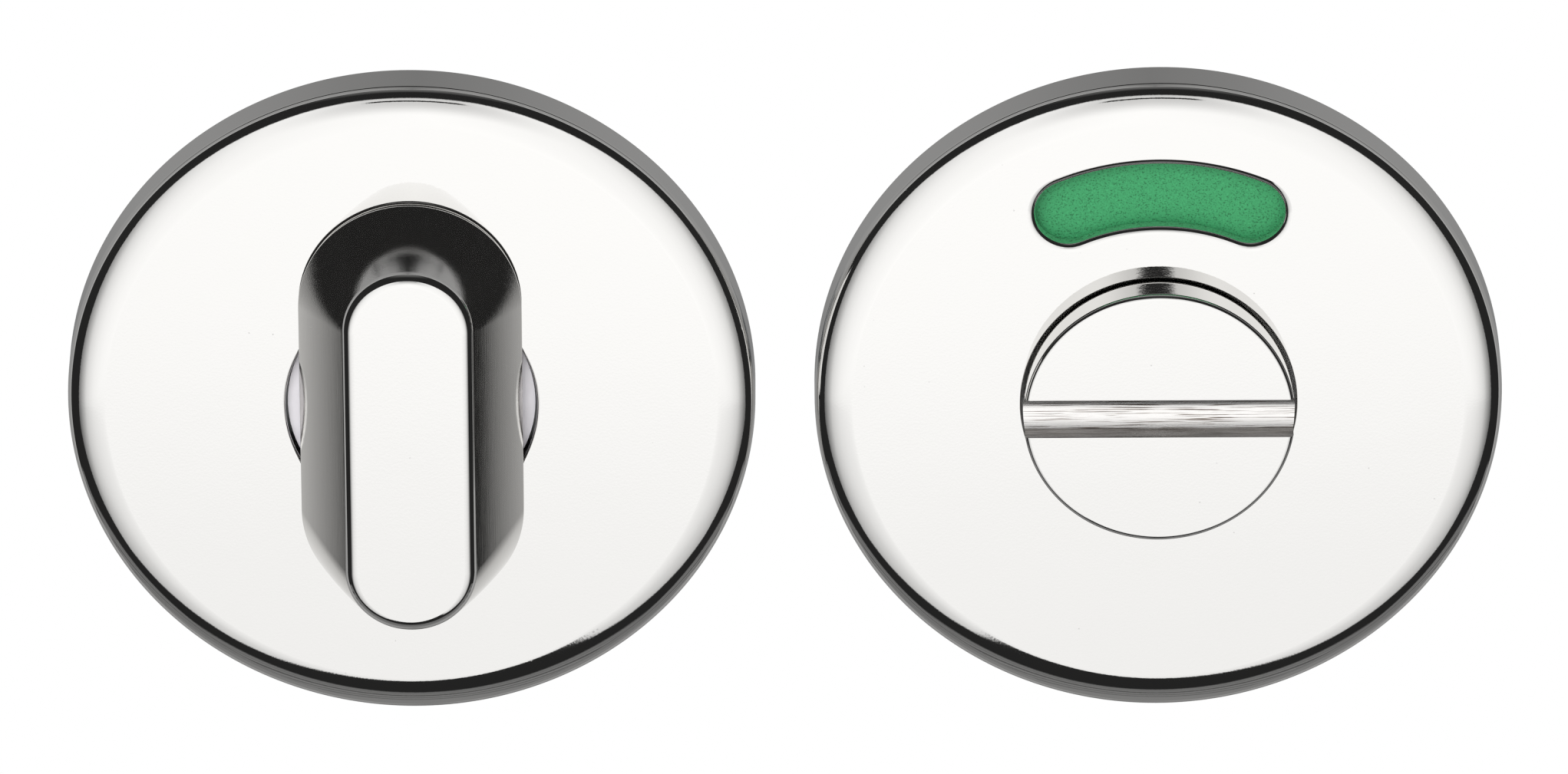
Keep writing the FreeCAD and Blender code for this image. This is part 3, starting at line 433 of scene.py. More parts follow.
class OBJECT_OT_lock_stage(bpy.types.Operator):
    """Set up the camera, the floor, the lamp and the light tent."""

    bl_idname = "object.lock_stage"
    bl_label = "Stage"

    def execute(self, context):
        stage = context.scene.lock_stage
        build_world(stage)
        build_floor(stage)
        build_lamp("key_lamp", LAMP_SPOT, stage.key_power, LAMP_WIDTH)
        build_camera(stage)
        context.scene.view_settings.view_transform = "Standard"
        return {"FINISHED"}


def stretched(tree, place, lengths):
    """Coordinates in which a pattern's grain has the given length along each axis."""
    return add_node(tree, "ShaderNodeMapping", {
        "Vector": place, "Scale": tuple(1 / length for length in lengths)}).outputs["Vector"]


# Outer and inner radius of a pit in the polish, as shares of the pits' spacing.
PIT_EDGE, PIT_FLOOR = 0.035, 0.012


def stainless(finish, name, roughness, lengths, depth, detail):
    """Stainless steel as a mirror with shallow buffing waves, sparse pits, and fine marks over the waves.

    The marks run along the longest of their three lengths. The tree, the shader and the marks come with
    the material, so that a finish can add to them.
    """
    material, tree, shader, place = new_material(name)
    wave = add_node(tree, "ShaderNodeTexNoise", {
        "Vector": stretched(tree, place, [finish.buffing_wave] * 3), "Scale": 1.0, "Detail": 1.0})
    waved = add_node(tree, "ShaderNodeBump", {
        "Height": wave.outputs["Fac"], "Strength": 1.0, "Distance": finish.wave_height})
    marks = add_node(tree, "ShaderNodeTexNoise", {
        "Vector": stretched(tree, place, lengths), "Scale": 1.0, "Detail": detail}).outputs["Fac"]
    marked = add_node(tree, "ShaderNodeBump", {
        "Height": marks, "Strength": 1.0, "Distance": depth, "Normal": waved.outputs["Normal"]})
    pits = add_node(tree, "ShaderNodeTexVoronoi", {
        "Vector": stretched(tree, place, [finish.pit_spacing] * 3), "Scale": 1.0}, feature="F1")
    rough = add_node(tree, "ShaderNodeMapRange", {
        "Value": pits.outputs["Distance"], "From Min": PIT_EDGE, "From Max": PIT_FLOOR,
        "To Min": roughness, "To Max": finish.pit_roughness})
    connect(tree, shader, {"Base Color": (*finish.steel_colour, 1), "Metallic": 1,
                           "Roughness": rough.outputs["Result"], "Normal": marked.outputs["Normal"]})
    return material, tree, shader, marks


def polished_stainless(finish, name):
    """Stainless steel, buffed to a mirror: sharp reflections with shallow waves, fine marks and pits."""
    return stainless(finish, name, finish.steel_roughness, [finish.buffing_grain] * 3, finish.grain_height,
                     2.0)[0]


def brushed_stainless(finish):
    """Stainless steel, buffed less on the turn's sides: fine lines along the turn in a soft mirror."""
    lengths = [finish.brush_width, finish.brush_width, finish.brush_length]
    return stainless(finish, "brushed_stainless_casting", finish.brushed_roughness, lengths,
                     finish.brush_depth, 3.0)[0]


def milled_stainless(finish):
    """Stainless steel as milled: streaks along the slot, some of them tinted dark brown as painted shade,
    in a rough mirror.
    """
    lengths = [finish.brush_length, finish.brush_width, finish.brush_width]
    material, tree, shader, streaks = stainless(
        finish, "milled_stainless_bar", finish.milled_roughness, lengths, finish.streak_depth, 4.0)
    # Painted shade: a dark brown tint along some streaks darkens the slot's reflection; the streaks'
    # grooves themselves are real.
    painted_streak_shade = add_node(tree, "ShaderNodeValToRGB", {"Fac": streaks}, (
        (0.36, linear("#5A4E48")), (0.41, linear("#A39B94")), (0.45, linear("#F0EEEC"))))
    connect(tree, shader, {"Base Color": painted_streak_shade.outputs["Color"], "Metallic": 0.9})
    return material


def grained(name, colour, stops, length, detail, depth, strength, inputs, noise=0.5):
    """Material whose tint and height follow one grain. A stop is a level of the grain and a brightness."""
    material, tree, shader, place = new_material(name)
    grain = add_node(tree, "ShaderNodeTexNoise", {
        "Vector": stretched(tree, place, [length] * 3), "Scale": 1.0, "Detail": detail,
        "Roughness": noise}).outputs["Fac"]
    tint = add_node(tree, "ShaderNodeValToRGB", {"Fac": grain}, [
        (level, tuple(share * brightness for share in colour)) for level, brightness in stops])
    bumps = add_node(tree, "ShaderNodeBump", {"Height": grain, "Strength": strength, "Distance": depth})
    connect(tree, shader, {
        "Base Color": tint.outputs["Color"], "Normal": bumps.outputs["Normal"], **inputs})
    return material


def film_with_painted_dimple_shade(name, colour):
    """Printed film with a pebbled grain, as on a fine leather: small dimples that catch the light. Its tint
    follows the grain as painted shade, darker in the dimples, and as a painted highlight, lighter on the
    raised grain.
    """
    # Painted shade and highlight: the tint falls to half in the dimples and rises above the colour on the
    # raised grain.
    stops = (0.37, 0.5), (0.45, 1), (0.56, 1), (0.66, 1.2)
    return grained(name, colour, stops, 0.13 * MM, 3.0, 0.03 * MM, 1.0,
                   {"Roughness": 0.55, "Specular IOR Level": 0.25}, 0.6)


def moulded_plastic(name, colour, roughness):
    """Moulded plastic: an even colour with a faint flow pattern and a low gloss."""
    return grained(name, colour, ((0.3, 0.93), (0.7, 1)), 1.5 * MM, 3.0, 0.01 * MM, 0.4,
                   {"Roughness": roughness})


def dull_metal(name, colour, grain_length, roughness, dapple):
    """Cast, plated or phosphated metal: a dull sheen with a crystal grain in colour and height."""
    return grained(name, colour, ((0.3, 1 - dapple), (0.7, 1)), grain_length, 4.0, 0.02 * MM, 0.5,
                   {"Metallic": 1, "Roughness": roughness})


def column(rows, first=0.0, last=1.0):
    """Even steps from one value to another, as a column."""
    return np.linspace(first, last, rows)[:, None]


def placed(across, height, up, centre=0.0):
    """Points in the frame, from distances to the right, out of the door and up."""
    across, height, up = np.broadcast_arrays(across, height, up)
    return np.stack([across + centre, -height, up], axis=-1)


def straight(start, end, rows=2):
    """Straight stretch of a section, as (radius, height), with its metal on the left of the way along."""
    run = np.array(end) - np.array(start)
    look = np.array([run[1], -run[0]]) / np.hypot(*run)
    return np.array(start) + column(rows) * run, np.broadcast_to(look, (rows, 2))


def bent(centre, radius, first, last, rows, hollow=False):
    """Round stretch of a section: an arc between two angles, counted from the radius to the height."""
    angles = column(rows, first, last)
    look = np.concatenate([np.cos(angles), np.sin(angles)], axis=1)
    return np.array(centre) + radius * look, -look if hollow else look


def corners(*points):
    """Straight stretches from corner to corner."""
    return [straight(*pair) for pair in zip(points, points[1:])]


def turned(stretch, angles, centre=0.0):
    """Surface of revolution: every point of a section, (radius, height), at every angle round the axis."""
    (radius, height), (lean, face) = (part.T[:, :, None] for part in stretch)
    across, up = np.cos(angles), np.sin(angles)
    return (placed(radius * across, height, radius * up, centre),
            placed(lean * across, face + 0 * across, lean * up))


def ring(radius, angles, height, centre=0.0):
    """Loop round an axis at one height, where the radius may differ from angle to angle."""
    return placed(radius * np.cos(angles), height, radius * np.sin(angles), centre)


def spanned(first, second, look, rows=2):
    """Ruled surface: straight from each point of one line to its partner on the other."""
    share = column(rows)[:, None]
    points = first * (1 - share) + second * share
    return points, np.broadcast_to(np.array(look, dtype=float), points.shape)


def faceted(first, second, centre, hollow):
    """Flat facets between two loops, each with its own direction, away from the axis or towards it."""
    twice = np.repeat(np.arange(len(first)), 2)[1:-1]
    one, two = first[twice], second[twice]
    facing = np.cross(first[1:] - first[:-1], (second - first)[:-1])
    lengths = np.linalg.norm(facing, axis=1, keepdims=True)
    facing = facing / np.maximum(lengths, TINY ** 2)
    outward = ((first[1:] + first[:-1]) / 2 - (centre, 0, 0)) * (1, 0, 1)
    side = np.sign((facing * outward).sum(axis=1, keepdims=True))
    facing = np.repeat(facing * side * (-1 if hollow else 1), 2, axis=0)
    return np.stack([one, two]), np.stack([facing, facing])


def full_turn(count, first=0.0):
    """Evenly spaced angles right round, with the first one again at the end."""
    return first + np.linspace(0, FULL, count + 1)


def square(angles, half):
    """Radius of a square's outline at each angle."""
    return half / np.maximum(np.abs(np.cos(angles)), np.abs(np.sin(angles)))


def make_piece(name, layers, body, slot, *replaced):
    """One mesh from layers of (material, patches): a patch is a grid of points and of their directions.

    Points that patches share become one corner. Each corner of a face keeps its own patch's direction, so
    edges between patches stay sharp and curves are exact.
    """
    patches = [(patch, number) for number, (_, group) in enumerate(layers) for patch in group]
    points = np.concatenate([patch[0].reshape(-1, 3) for patch, _ in patches])
    looks = np.concatenate([patch[1].reshape(-1, 3) for patch, _ in patches])
    faces, finishes, start = [], [], 0
    for (grid, facing), number in patches:
        index = start + np.arange(grid.shape[0] * grid.shape[1]).reshape(grid.shape[:2])
        start += index.size
        a, b, c, d = index[:-1, :-1], index[:-1, 1:], index[1:, 1:], index[1:, :-1]
        triangles = np.stack([a, b, c, a, c, d], axis=-1).reshape(-1, 3)
        one, two, three = (points[triangles[:, corner]] for corner in range(3))
        outward = (np.cross(two - one, three - one) * looks[triangles].sum(axis=1)).sum()
        faces.append(triangles if outward > 0 else triangles[:, ::-1])
        finishes.append(np.full(len(triangles), number))
    faces, finishes = np.concatenate(faces), np.concatenate(finishes)
    _, kept, joined = np.unique(np.round(points / JOIN_GRID + GRID_SHIFT).astype(np.int64), axis=0,
                                return_index=True, return_inverse=True)
    joined = joined.reshape(-1)[faces]
    whole = (joined != np.roll(joined, 1, axis=1)).all(axis=1)
    faces, finishes, joined = faces[whole], finishes[whole], joined[whole].astype(np.int32)
    mesh = bpy.data.meshes.new(name)
    mesh.vertices.add(len(kept))
    mesh.vertices.foreach_set("co", points[kept].ravel())
    mesh.loops.add(joined.size)
    mesh.loops.foreach_set("vertex_index", joined.ravel())
    mesh.polygons.add(len(joined))
    mesh.polygons.foreach_set("loop_start", np.arange(0, joined.size, 3, dtype=np.int32))
    mesh.polygons.foreach_set("material_index", finishes.astype(np.int32))
    for material, _ in layers:
        mesh.materials.append(material)
    mesh.update(calc_edges=True)
    lengths = np.linalg.norm(looks, axis=1, keepdims=True)
    mesh.normals_split_custom_set((looks / lengths)[faces.ravel()])
    piece = bpy.data.objects.new(name, mesh)
    bpy.context.scene.collection.objects.link(piece)
    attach(piece, body)
    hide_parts(*replaced)
    return piece


def cover_edge(shape):
    """Section of a cover from its rim on the door up to the flat front: a tight arc, then a wide one."""
    radius, height, width = shape.rose_radius, shape.rose_height, shape.edge_width
    small = shape.edge_small_radius
    rim_height = height - shape.edge_drop
    gap = width - small
    large = (gap ** 2 + shape.edge_drop ** 2 - small ** 2) / (2 * (shape.edge_drop - small))
    join = math.atan2(rim_height - (height - large), gap)
    return [
        straight((radius, 0), (radius, rim_height)),
        bent((radius - small, rim_height), small, 0, join, 26),
        bent((radius - width, height - large), large, join, UPRIGHT, 34),
    ]


def cover_inside(shape):
    """Section of a cover from the hollow corner inside down to the rim, with the snap ring's groove."""
    bore, below = shape.rose_radius - shape.cover_wall, shape.rose_height - shape.cover_wall
    bend = shape.inner_corner_radius
    seat = bore + shape.ring_groove_depth
    low, high = shape.ring_groove_low, shape.ring_groove_high
    return [
        bent((bore - bend, below - bend), bend, UPRIGHT, 0, 12, hollow=True),
        *corners((bore, below - bend), (bore, high), (seat, high), (seat, low), (bore, low), (bore, 0),
                 (shape.rose_radius, 0)),
    ]


def hole_rim(shape, hole, bend):
    """Section of a cover's hole: a small round on its rim, then the wall of the hole."""
    height = shape.rose_height
    return [
        bent((hole + bend, height - bend), bend, UPRIGHT, math.pi, 10),
        straight((hole, height - bend), (hole, height - shape.cover_wall)),
    ]


def bent_slot(shape, half_width, height, counts):
    """Outline of the arc window, and the directions away from its middle: arc, end, arc, end."""
    along, round_end = counts
    low, high = UPRIGHT - shape.window_half_angle, UPRIGHT + shape.window_half_angle
    out, turn = np.linspace(low, high, along), np.linspace(0, math.pi, round_end)
    middle = np.concatenate([out, np.full(round_end, high), out[::-1], np.full(round_end, low)])
    look = np.concatenate([out, high + turn, out[::-1] + math.pi, low + math.pi + turn])
    across = shape.window_radius * np.cos(middle) + half_width * np.cos(look)
    up = shape.window_radius * np.sin(middle) + half_width * np.sin(look)
    return (placed(across, height, up, shape.rose_spacing),
            placed(np.cos(look), 0 * look, np.sin(look)))


def sector_outline(shape, inner, outer, half, height, counts):
    """Outline of a ring sector about straight up, with its points paired to those of the window."""
    along, side = counts
    out = np.linspace(UPRIGHT - half, UPRIGHT + half, along)
    reach = np.linspace(outer, inner, side)
    angle = np.concatenate([out, np.full(side, UPRIGHT + half), out[::-1], np.full(side, UPRIGHT - half)])
    radius = np.concatenate([np.full(along, outer), reach, np.full(along, inner), reach[::-1]])
    return placed(radius * np.cos(angle), height, radius * np.sin(angle), shape.rose_spacing)


def build_turn_cover(shape, steel):
    """Round cover with a rolled edge of two arcs, turned round the spindle's axis."""
    angles, hole, height = full_turn(ROUND_STEPS), shape.turn_hole_radius, shape.rose_height
    front = shape.rose_radius - shape.edge_width
    below = height - shape.cover_wall
    section = [
        *cover_edge(shape), straight((front, height), (hole + shape.hole_round, height), 12),
        *hole_rim(shape, hole, shape.hole_round),
        straight((hole, below), (shape.rose_radius - shape.cover_wall - shape.inner_corner_radius, below)),
        *cover_inside(shape),
    ]
    make_piece("turn_rose_cover_pressed", [(steel, [turned(part, angles) for part in section])], "root",
               "polished_stainless", "turn_rose_cover")


# Points along a long side and along a round end of the window, and half the sector about it.
WINDOW_POINTS, WINDOW_SECTOR = (61, 31), math.radians(42)


def build_release_cover(shape, steel):
    """Cover like the other one, with an arc window whose rim is pressed round.

    The flat front is a ring sector about the window, whose points pair up with the window's rim, and the
    rest of the ring. The rim falls along a quarter of an ellipse.
    """
    counts, half, centre = WINDOW_POINTS, WINDOW_SECTOR, shape.rose_spacing
    sector = np.linspace(UPRIGHT - half, UPRIGHT + half, counts[0])
    rest = np.linspace(UPRIGHT + half, UPRIGHT - half + FULL, ROUND_STEPS + 2 - counts[0])
    angles = np.concatenate([sector[:-1], rest])
    hole, height = shape.release_hole_radius, shape.rose_height
    below = height - shape.cover_wall
    front, inner = shape.rose_radius - shape.edge_width, hole + shape.release_hole_round
    bore = shape.rose_radius - shape.cover_wall - shape.inner_corner_radius
    section = [*cover_edge(shape), *hole_rim(shape, hole, shape.release_hole_round), *cover_inside(shape)]
    patches = [turned(part, angles, centre) for part in section]
    patches.append(turned(straight((front, height), (inner, height), counts[1]), rest, centre))
    patches.append(turned(straight((hole, below), (bore, below), counts[1]), rest, centre))
    bend, spread, wide = shape.window_round, shape.window_spread, shape.window_half_width
    slide = np.linspace(0, UPRIGHT, 12)
    rims = [bent_slot(shape, wide + spread * (1 - math.sin(step)), height - bend * (1 - math.cos(step)),
                      counts) for step in slide]
    lean = [placed(0, spread * math.cos(step), 0 * away[:, 0]) - bend * math.sin(step) * away
            for (_, away), step in zip(rims, slide)]
    patches.append((np.stack([points for points, _ in rims]), np.stack(lean)))
    lower, away = bent_slot(shape, wide, below, counts)
    patches.append(spanned(rims[-1][0], lower, -away))
    patches.append(spanned(sector_outline(shape, inner, front, half, height, counts), rims[0][0],
                           (0, -1, 0), 5))
    patches.append(spanned(sector_outline(shape, hole, bore, half, below, counts), lower, (0, 1, 0), 5))
    make_piece("release_rose_cover_pressed", [(steel, patches)], "root", "polished_stainless",
               "release_rose_cover")


def turn_side(shape, height, lean):
    """The turn's side at a height: half width, reach of an end's centre, and how fast it spreads.

    The half width falls evenly, and the belly adds a parabola that is none at both ends.
    """
    rise = shape.turn_top - shape.turn_base
    share = (height - shape.turn_base) / rise
    wide, narrow = shape.turn_base_half_width, shape.turn_top_half_width
    low, high = shape.turn_base_half_length - wide, shape.turn_top_half_length - narrow
    width = wide + (narrow - wide) * share + 4 * shape.turn_belly * share * (1 - share)
    spread = (narrow - wide + 4 * shape.turn_belly * (1 - 2 * share) + (high - low) * lean) / rise
    return width, low + (high - low) * share, spread


def shank_patches(shape, radius, top, socket_floor, angles, centre, open_wall=False):
    """Shank with a circlip groove, a chamfered end and a square socket, from the end up to a height.

    An open wall leaves out the stretch between the chamfer and the groove.
    """
    end, seat = -shape.shank_depth, radius - shape.clip_groove_depth
    start, far = -shape.clip_groove_start, -shape.clip_groove_end
    foot = end + shape.shank_chamfer
    section = corners((radius - shape.shank_chamfer, end), (radius, foot))
    if not open_wall:
        section += corners((radius, foot), (radius, far))
    section += corners((radius, far), (seat, far), (seat, start), (radius, start), (radius, top))
    patches = [turned(part, angles, centre) for part in section]
    outline = square(angles, shape.socket_half)
    mouth, bottom = (ring(outline, angles, height, centre) for height in (end, socket_floor))
    patches.append(spanned(ring(radius - shape.shank_chamfer, angles, end, centre), mouth, (0, 1, 0)))
    patches.append(faceted(mouth, bottom, centre, True))
    patches.append(spanned(bottom, ring(0, angles, socket_floor, centre), (0, 1, 0)))
    return patches


def grub_hole(shape, radius, angles):
    """The shank's wall round the grub screw's hole, on top, and the hole down to the socket.

    The wall near the hole runs from the sector's outline, unrolled, straight to the hole's circle.
    """
    low, high = -shape.shank_depth + shape.shank_chamfer, -shape.clip_groove_end
    rows, near = 5, (np.abs(angles - UPRIGHT) < math.radians(40)).nonzero()[0]
    sector = angles[near]
    rest = np.concatenate([angles[near[-1]:], angles[1:near[0] + 1] + FULL])
    patches = [turned(straight((radius, low), (radius, high), rows), rest)]
    height = np.linspace(low, high, rows)
    angle = np.concatenate([sector, np.full(rows, sector[-1]), sector[::-1], np.full(rows, sector[0])])
    level = np.concatenate([np.full(len(sector), low), height, np.full(len(sector), high), height[::-1]])
    middle = -shape.grub_hole_depth
    bearing = np.arctan2(level - middle, radius * (UPRIGHT - angle))
    hole_across = shape.grub_hole_radius * np.cos(bearing)
    hole_level = middle + shape.grub_hole_radius * np.sin(bearing)
    hole_angle = UPRIGHT - np.arcsin(hole_across / radius)
    share = column(rows)
    angle, level = angle * (1 - share) + hole_angle * share, level * (1 - share) + hole_level * share
    patches.append((placed(radius * np.cos(angle), level, radius * np.sin(angle)),
                    placed(np.cos(angle), 0 * level, np.sin(angle))))
    top = placed(hole_across, hole_level, radius * np.sin(hole_angle))
    floor = placed(hole_across, hole_level, shape.socket_half)
    patches.append(spanned(top, floor, placed(-np.cos(bearing), -np.sin(bearing), 0)))
    centre = placed(0 * hole_across, middle, shape.socket_half)
    patches.append(spanned(floor, centre, (0, 0, 1)))
    return patches


def build_thumb_turn(shape, steel, brushed):
    """Oval turn: a stadium that narrows upward with a slight belly, and rounds that roll along its edges.

    At each height the outline is the middle stretch's end centres plus the half width in each direction.
    The rounds follow a ball that touches the side where the side's slope is the ball's own.
    """
    end_steps, side_steps = 64, 40
    count = 2 * (end_steps + side_steps)
    end, stretch = np.linspace(0, math.pi, end_steps + 1), np.linspace(1, -1, side_steps + 1)
    along = np.concatenate([end, np.full(side_steps - 1, math.pi), end + math.pi,
                            np.full(side_steps, FULL)])
    pole = np.concatenate([np.ones(end_steps + 1), stretch[1:-1], -np.ones(end_steps + 1), -stretch[1:]])
    lean = np.abs(np.sin(along))
    lean[lean < TINY] = 0

    def contact(level, radius):
        """Height at which a ball with its centre at a level touches the side, in a few rounds."""
        height = level + 0 * along
        for _ in range(12):
            spread = turn_side(shape, height, lean)[2]
            height = level + radius * np.sin(np.arctan(-spread))
        return height

    def roll(height, radius, first, last):
        """Round of a rolling ball, from one direction to another, where none is the side's own."""
        width, reach, spread = turn_side(shape, height, lean)
        tilt = np.arctan(-spread)
        share = column(18)
        around = (tilt if first is None else first) * (1 - share) + (tilt if last is None else last) * share
        out = width - radius * np.cos(tilt) + radius * np.cos(around)
        rise = height - radius * np.sin(tilt) + radius * np.sin(around)
        return (placed(out * np.cos(along), rise, pole * reach + out * np.sin(along)),
                placed(np.cos(around) * np.cos(along), np.sin(around), np.cos(around) * np.sin(along)))

    low = contact(shape.turn_base + shape.turn_base_round, shape.turn_base_round)
    high = contact(shape.turn_top - shape.turn_rim_round, shape.turn_rim_round)
    height = low + (high - low) * column(48)
    width, reach, spread = turn_side(shape, height, lean)
    side = (placed(width * np.cos(along), height, pole * reach + width * np.sin(along)),
            placed(np.cos(along) + 0 * height, -spread, np.sin(along) + 0 * height))
    crown = roll(high, shape.turn_rim_round, None, UPRIGHT)
    foot = roll(low, shape.turn_base_round, -UPRIGHT, None)
    reach_high = shape.turn_top_half_length - shape.turn_top_half_width
    spine = placed(0 * pole, shape.turn_top, pole * reach_high)
    angles = full_turn(count, UPRIGHT - end_steps * math.pi / count)
    radius = shape.turn_shank_radius
    under = spanned(foot[0][0], ring(radius, angles, shape.turn_base), (0, 1, 0))
    shank = shank_patches(shape, radius, shape.turn_base, shape.turn_socket_floor, angles, 0.0,
                          open_wall=True)
    layers = [(steel, [crown, spanned(crown[0][-1], spine, (0, -1, 0), 4), under, *shank,
                       *grub_hole(shape, radius, angles)]),
              (brushed, [side, foot])]
    make_piece("thumb_turn_cast", layers, "turn", "polished_stainless", "thumb_turn")


def build_release_knob(shape, steel, milled):
    """Round coin release: a straight slot with a hollow floor cuts through the head from side to side.

    The head is two half moons, each between the slot's wall and the edge's circle, with their points
    paired. The slot's floor is part of a cylinder along the slot.
    """
    centre, radius, top = shape.rose_spacing, shape.knob_radius, shape.knob_top
    bend, half, hollow = shape.knob_edge_round, shape.slot_width / 2, shape.slot_floor_radius
    middle = top - shape.slot_depth + hollow
    bank = middle - math.sqrt(hollow ** 2 - half ** 2)
    floor_steps, moon_steps = 24, 104
    share = np.linspace(0, 1, moon_steps + 1)
    patches, cut = [], []

    def moon(distance):
        """Angles of the head's edge above the slot, at a distance from the axis."""
        first = np.arcsin(half / distance)
        return first + (math.pi - 2 * first) * share

    falls = column(10, UPRIGHT, 0)
    reaches, levels = radius - bend + bend * np.cos(falls), top - bend + bend * np.sin(falls)
    spread = np.cos(moon(radius)) / np.cos(moon(radius)[0])
    for sign in (1, -1):
        angles = moon(reaches)
        curve = placed(reaches * np.cos(angles), levels, sign * reaches * np.sin(angles), centre)
        patches.append((curve, placed(np.cos(falls) * np.cos(angles), np.sin(falls),
                                      sign * np.cos(falls) * np.sin(angles))))
        chord = placed(np.sqrt(reaches[0] ** 2 - half ** 2) * spread, top, sign * half, centre)
        patches.append(spanned(chord, curve[0], (0, -1, 0), 8))
        angles = moon(radius)
        patches.append(spanned(curve[-1], ring(radius, sign * angles, bank, centre),
                               placed(np.cos(angles), 0, sign * np.sin(angles))))
        rows = np.concatenate([levels, [[bank]]])
        widths = np.sqrt(np.concatenate([reaches, [[radius]]]) ** 2 - half ** 2)
        wall = placed(widths * spread, rows, sign * half, centre)
        cut.append((wall, np.broadcast_to((0.0, 0.0, -float(sign)), wall.shape)))
    sweep = column(floor_steps + 1, -1, 1) * math.asin(half / hollow)
    up, level = hollow * np.sin(sweep), middle - hollow * np.cos(sweep)
    cut.append((placed(np.sqrt(radius ** 2 - up ** 2) * spread, level, up, centre),
                placed(0 * spread, np.cos(sweep), -np.sin(sweep))))
    mouth = np.arcsin(up[:, 0] / radius)
    angles = np.concatenate([mouth[:-1], moon(radius)[:-1], mouth[:-1] + math.pi, moon(radius) + math.pi])
    lip = np.full(moon_steps + 1, bank)
    brim = np.concatenate([level[:-1, 0], lip[:-1], level[::-1][:-1, 0], lip])
    edge = ring(radius, angles, shape.knob_back, centre)
    patches.append(spanned(ring(radius, angles, brim, centre), edge,
                           placed(np.cos(angles), 0, np.sin(angles)), 4))
    even = full_turn(ROUND_STEPS, -floor_steps * math.pi / ROUND_STEPS)
    shank = shape.release_shank_radius
    boss = np.minimum(shape.boss_radius, shank / np.maximum(np.abs(np.sin(even)), TINY))
    collar, base = (ring(boss, even, height, centre) for height in (shape.knob_back, shape.boss_back))
    patches.append(spanned(edge, collar, (0, 1, 0)))
    patches.append(faceted(collar, base, centre, False))
    patches.append(spanned(base, ring(shank, even, shape.boss_back, centre), (0, 1, 0)))
    patches += shank_patches(shape, shank, shape.boss_back, shape.release_socket_floor, even, centre)
    make_piece("release_knob_turned", [(steel, patches), (milled, cut)], "release", "polished_stainless",
               "release_knob")


# Rows of a thread's mesh per pitch, and the share of its depth that each flat cuts off.
ROWS_PER_PITCH, THREAD_FLAT = 8, 0.15


def thread(low, high, crest, depth, pitch, angles, centre, hollow=False):
    """Screw thread: the radius rises and falls once per pitch along a helix, and fades out at both ends.

    The flanks are steeper than a plain zigzag and clipped, which leaves flat crests and roots.
    """
    height = column(int(round((high - low) / pitch * ROWS_PER_PITCH)) + 1, low, high)
    turns = height / pitch + angles / FULL
    wave = np.clip(np.abs(2 * (turns % 1) - 1) * (1 + 2 * THREAD_FLAT) - THREAD_FLAT, 0, 1)
    ends = np.clip(np.minimum(height - low, high - height) / (pitch / 2), 0, 1)
    radius = crest + depth * wave * ends * (1 if hollow else -1)
    points = placed(radius * np.cos(angles), height, radius * np.sin(angles), centre)
    looks = np.cross(np.gradient(points, axis=0), np.gradient(points, axis=1))
    away = placed(np.cos(angles), 0 * height, np.sin(angles)) * (-1 if hollow else 1)
    looks *= np.sign((looks * away).sum(axis=-1, keepdims=True))
    looks[:, -1] = looks[:, 0] = looks[:, 0] + looks[:, -1]
    return points, looks


def build_screws(shape, plated):
    """Two countersunk machine screws: cross recess, cone, plain neck and a helical thread to the tip."""
    reach, narrow = shape.recess_reach, shape.recess_half_width
    tip = math.atan2(narrow, reach)
    marks = (0, tip, math.pi / 4, UPRIGHT - tip, UPRIGHT)
    quarter = np.concatenate([np.linspace(first, last, count, endpoint=False)
                              for first, last, count in zip(marks, marks[1:], (3, 6, 6, 3))])
    angles = np.concatenate([quarter + turn * UPRIGHT for turn in range(4)] + [[FULL]])
    flat, steep = (np.maximum(np.abs(wave(angles)), TINY) for wave in (np.cos, np.sin))
    cross = np.maximum(np.minimum(reach / flat, narrow / steep), np.minimum(reach / steep, narrow / flat))
    head, neck, radius = shape.screw_head_radius, shape.screw_neck_radius, shape.screw_radius
    front, start, end = shape.plate_front, -shape.screw_neck_depth, -shape.screw_depth
    bevel, floor = shape.pillar_chamfer, shape.plate_front - shape.recess_depth
    section = corners((radius - bevel, end), (radius, end + bevel))
    section += corners((radius, start), (neck, start), (neck, front - (head - neck)), (head, front))
    patches = []
    for centre in (-shape.fixing_radius, shape.fixing_radius):
        patches += [turned(part, angles, centre) for part in section]
        rim, bottom = ring(cross, angles, front, centre), ring(cross, angles, floor, centre)
        patches += [
            spanned(ring(head, angles, front, centre), rim, (0, -1, 0)),
            faceted(rim, bottom, centre, True),
            spanned(bottom, ring(0, angles, floor, centre), (0, -1, 0)),
            thread(end + bevel, start, radius, shape.thread_depth, shape.thread_pitch, angles, centre),
            spanned(ring(0, angles, end, centre), ring(radius - bevel, angles, end, centre), (0, 1, 0)),
        ]
    make_piece("fixing_screws_threaded", [(plated, patches)], "root", "zinc_plated_steel", "fixing_screws")


def build_pillars(shape, plated):
    """Two pillars with a spigot in the plate, and a bore tapped with a helical thread."""
    angles, bevel = full_turn(64), shape.pillar_chamfer
    radius, spigot, bore = shape.pillar_radius, shape.spigot_radius, shape.screw_radius - shape.thread_depth
    end, top = -shape.pillar_depth, shape.spigot_height
    floor = end + shape.pillar_bore_depth
    section = corners((bore, end), (radius - bevel, end), (radius, end + bevel), (radius, 0), (spigot, 0),
                      (spigot, top))
    patches = []
    for side in (-shape.fixing_radius, shape.fixing_radius):
        centre = shape.rose_spacing + side
        patches += [turned(part, angles, centre) for part in section]
        patches += [
            spanned(ring(spigot, angles, top, centre), ring(0, angles, top, centre), (0, -1, 0)),
            thread(end, floor, bore, shape.thread_depth, shape.thread_pitch, angles, centre, hollow=True),
            spanned(ring(bore, angles, floor, centre), ring(0, angles, floor, centre), (0, 1, 0)),
        ]
    make_piece("threaded_pillars_tapped", [(plated, patches)], "root", "zinc_plated_steel",
               "threaded_pillars")


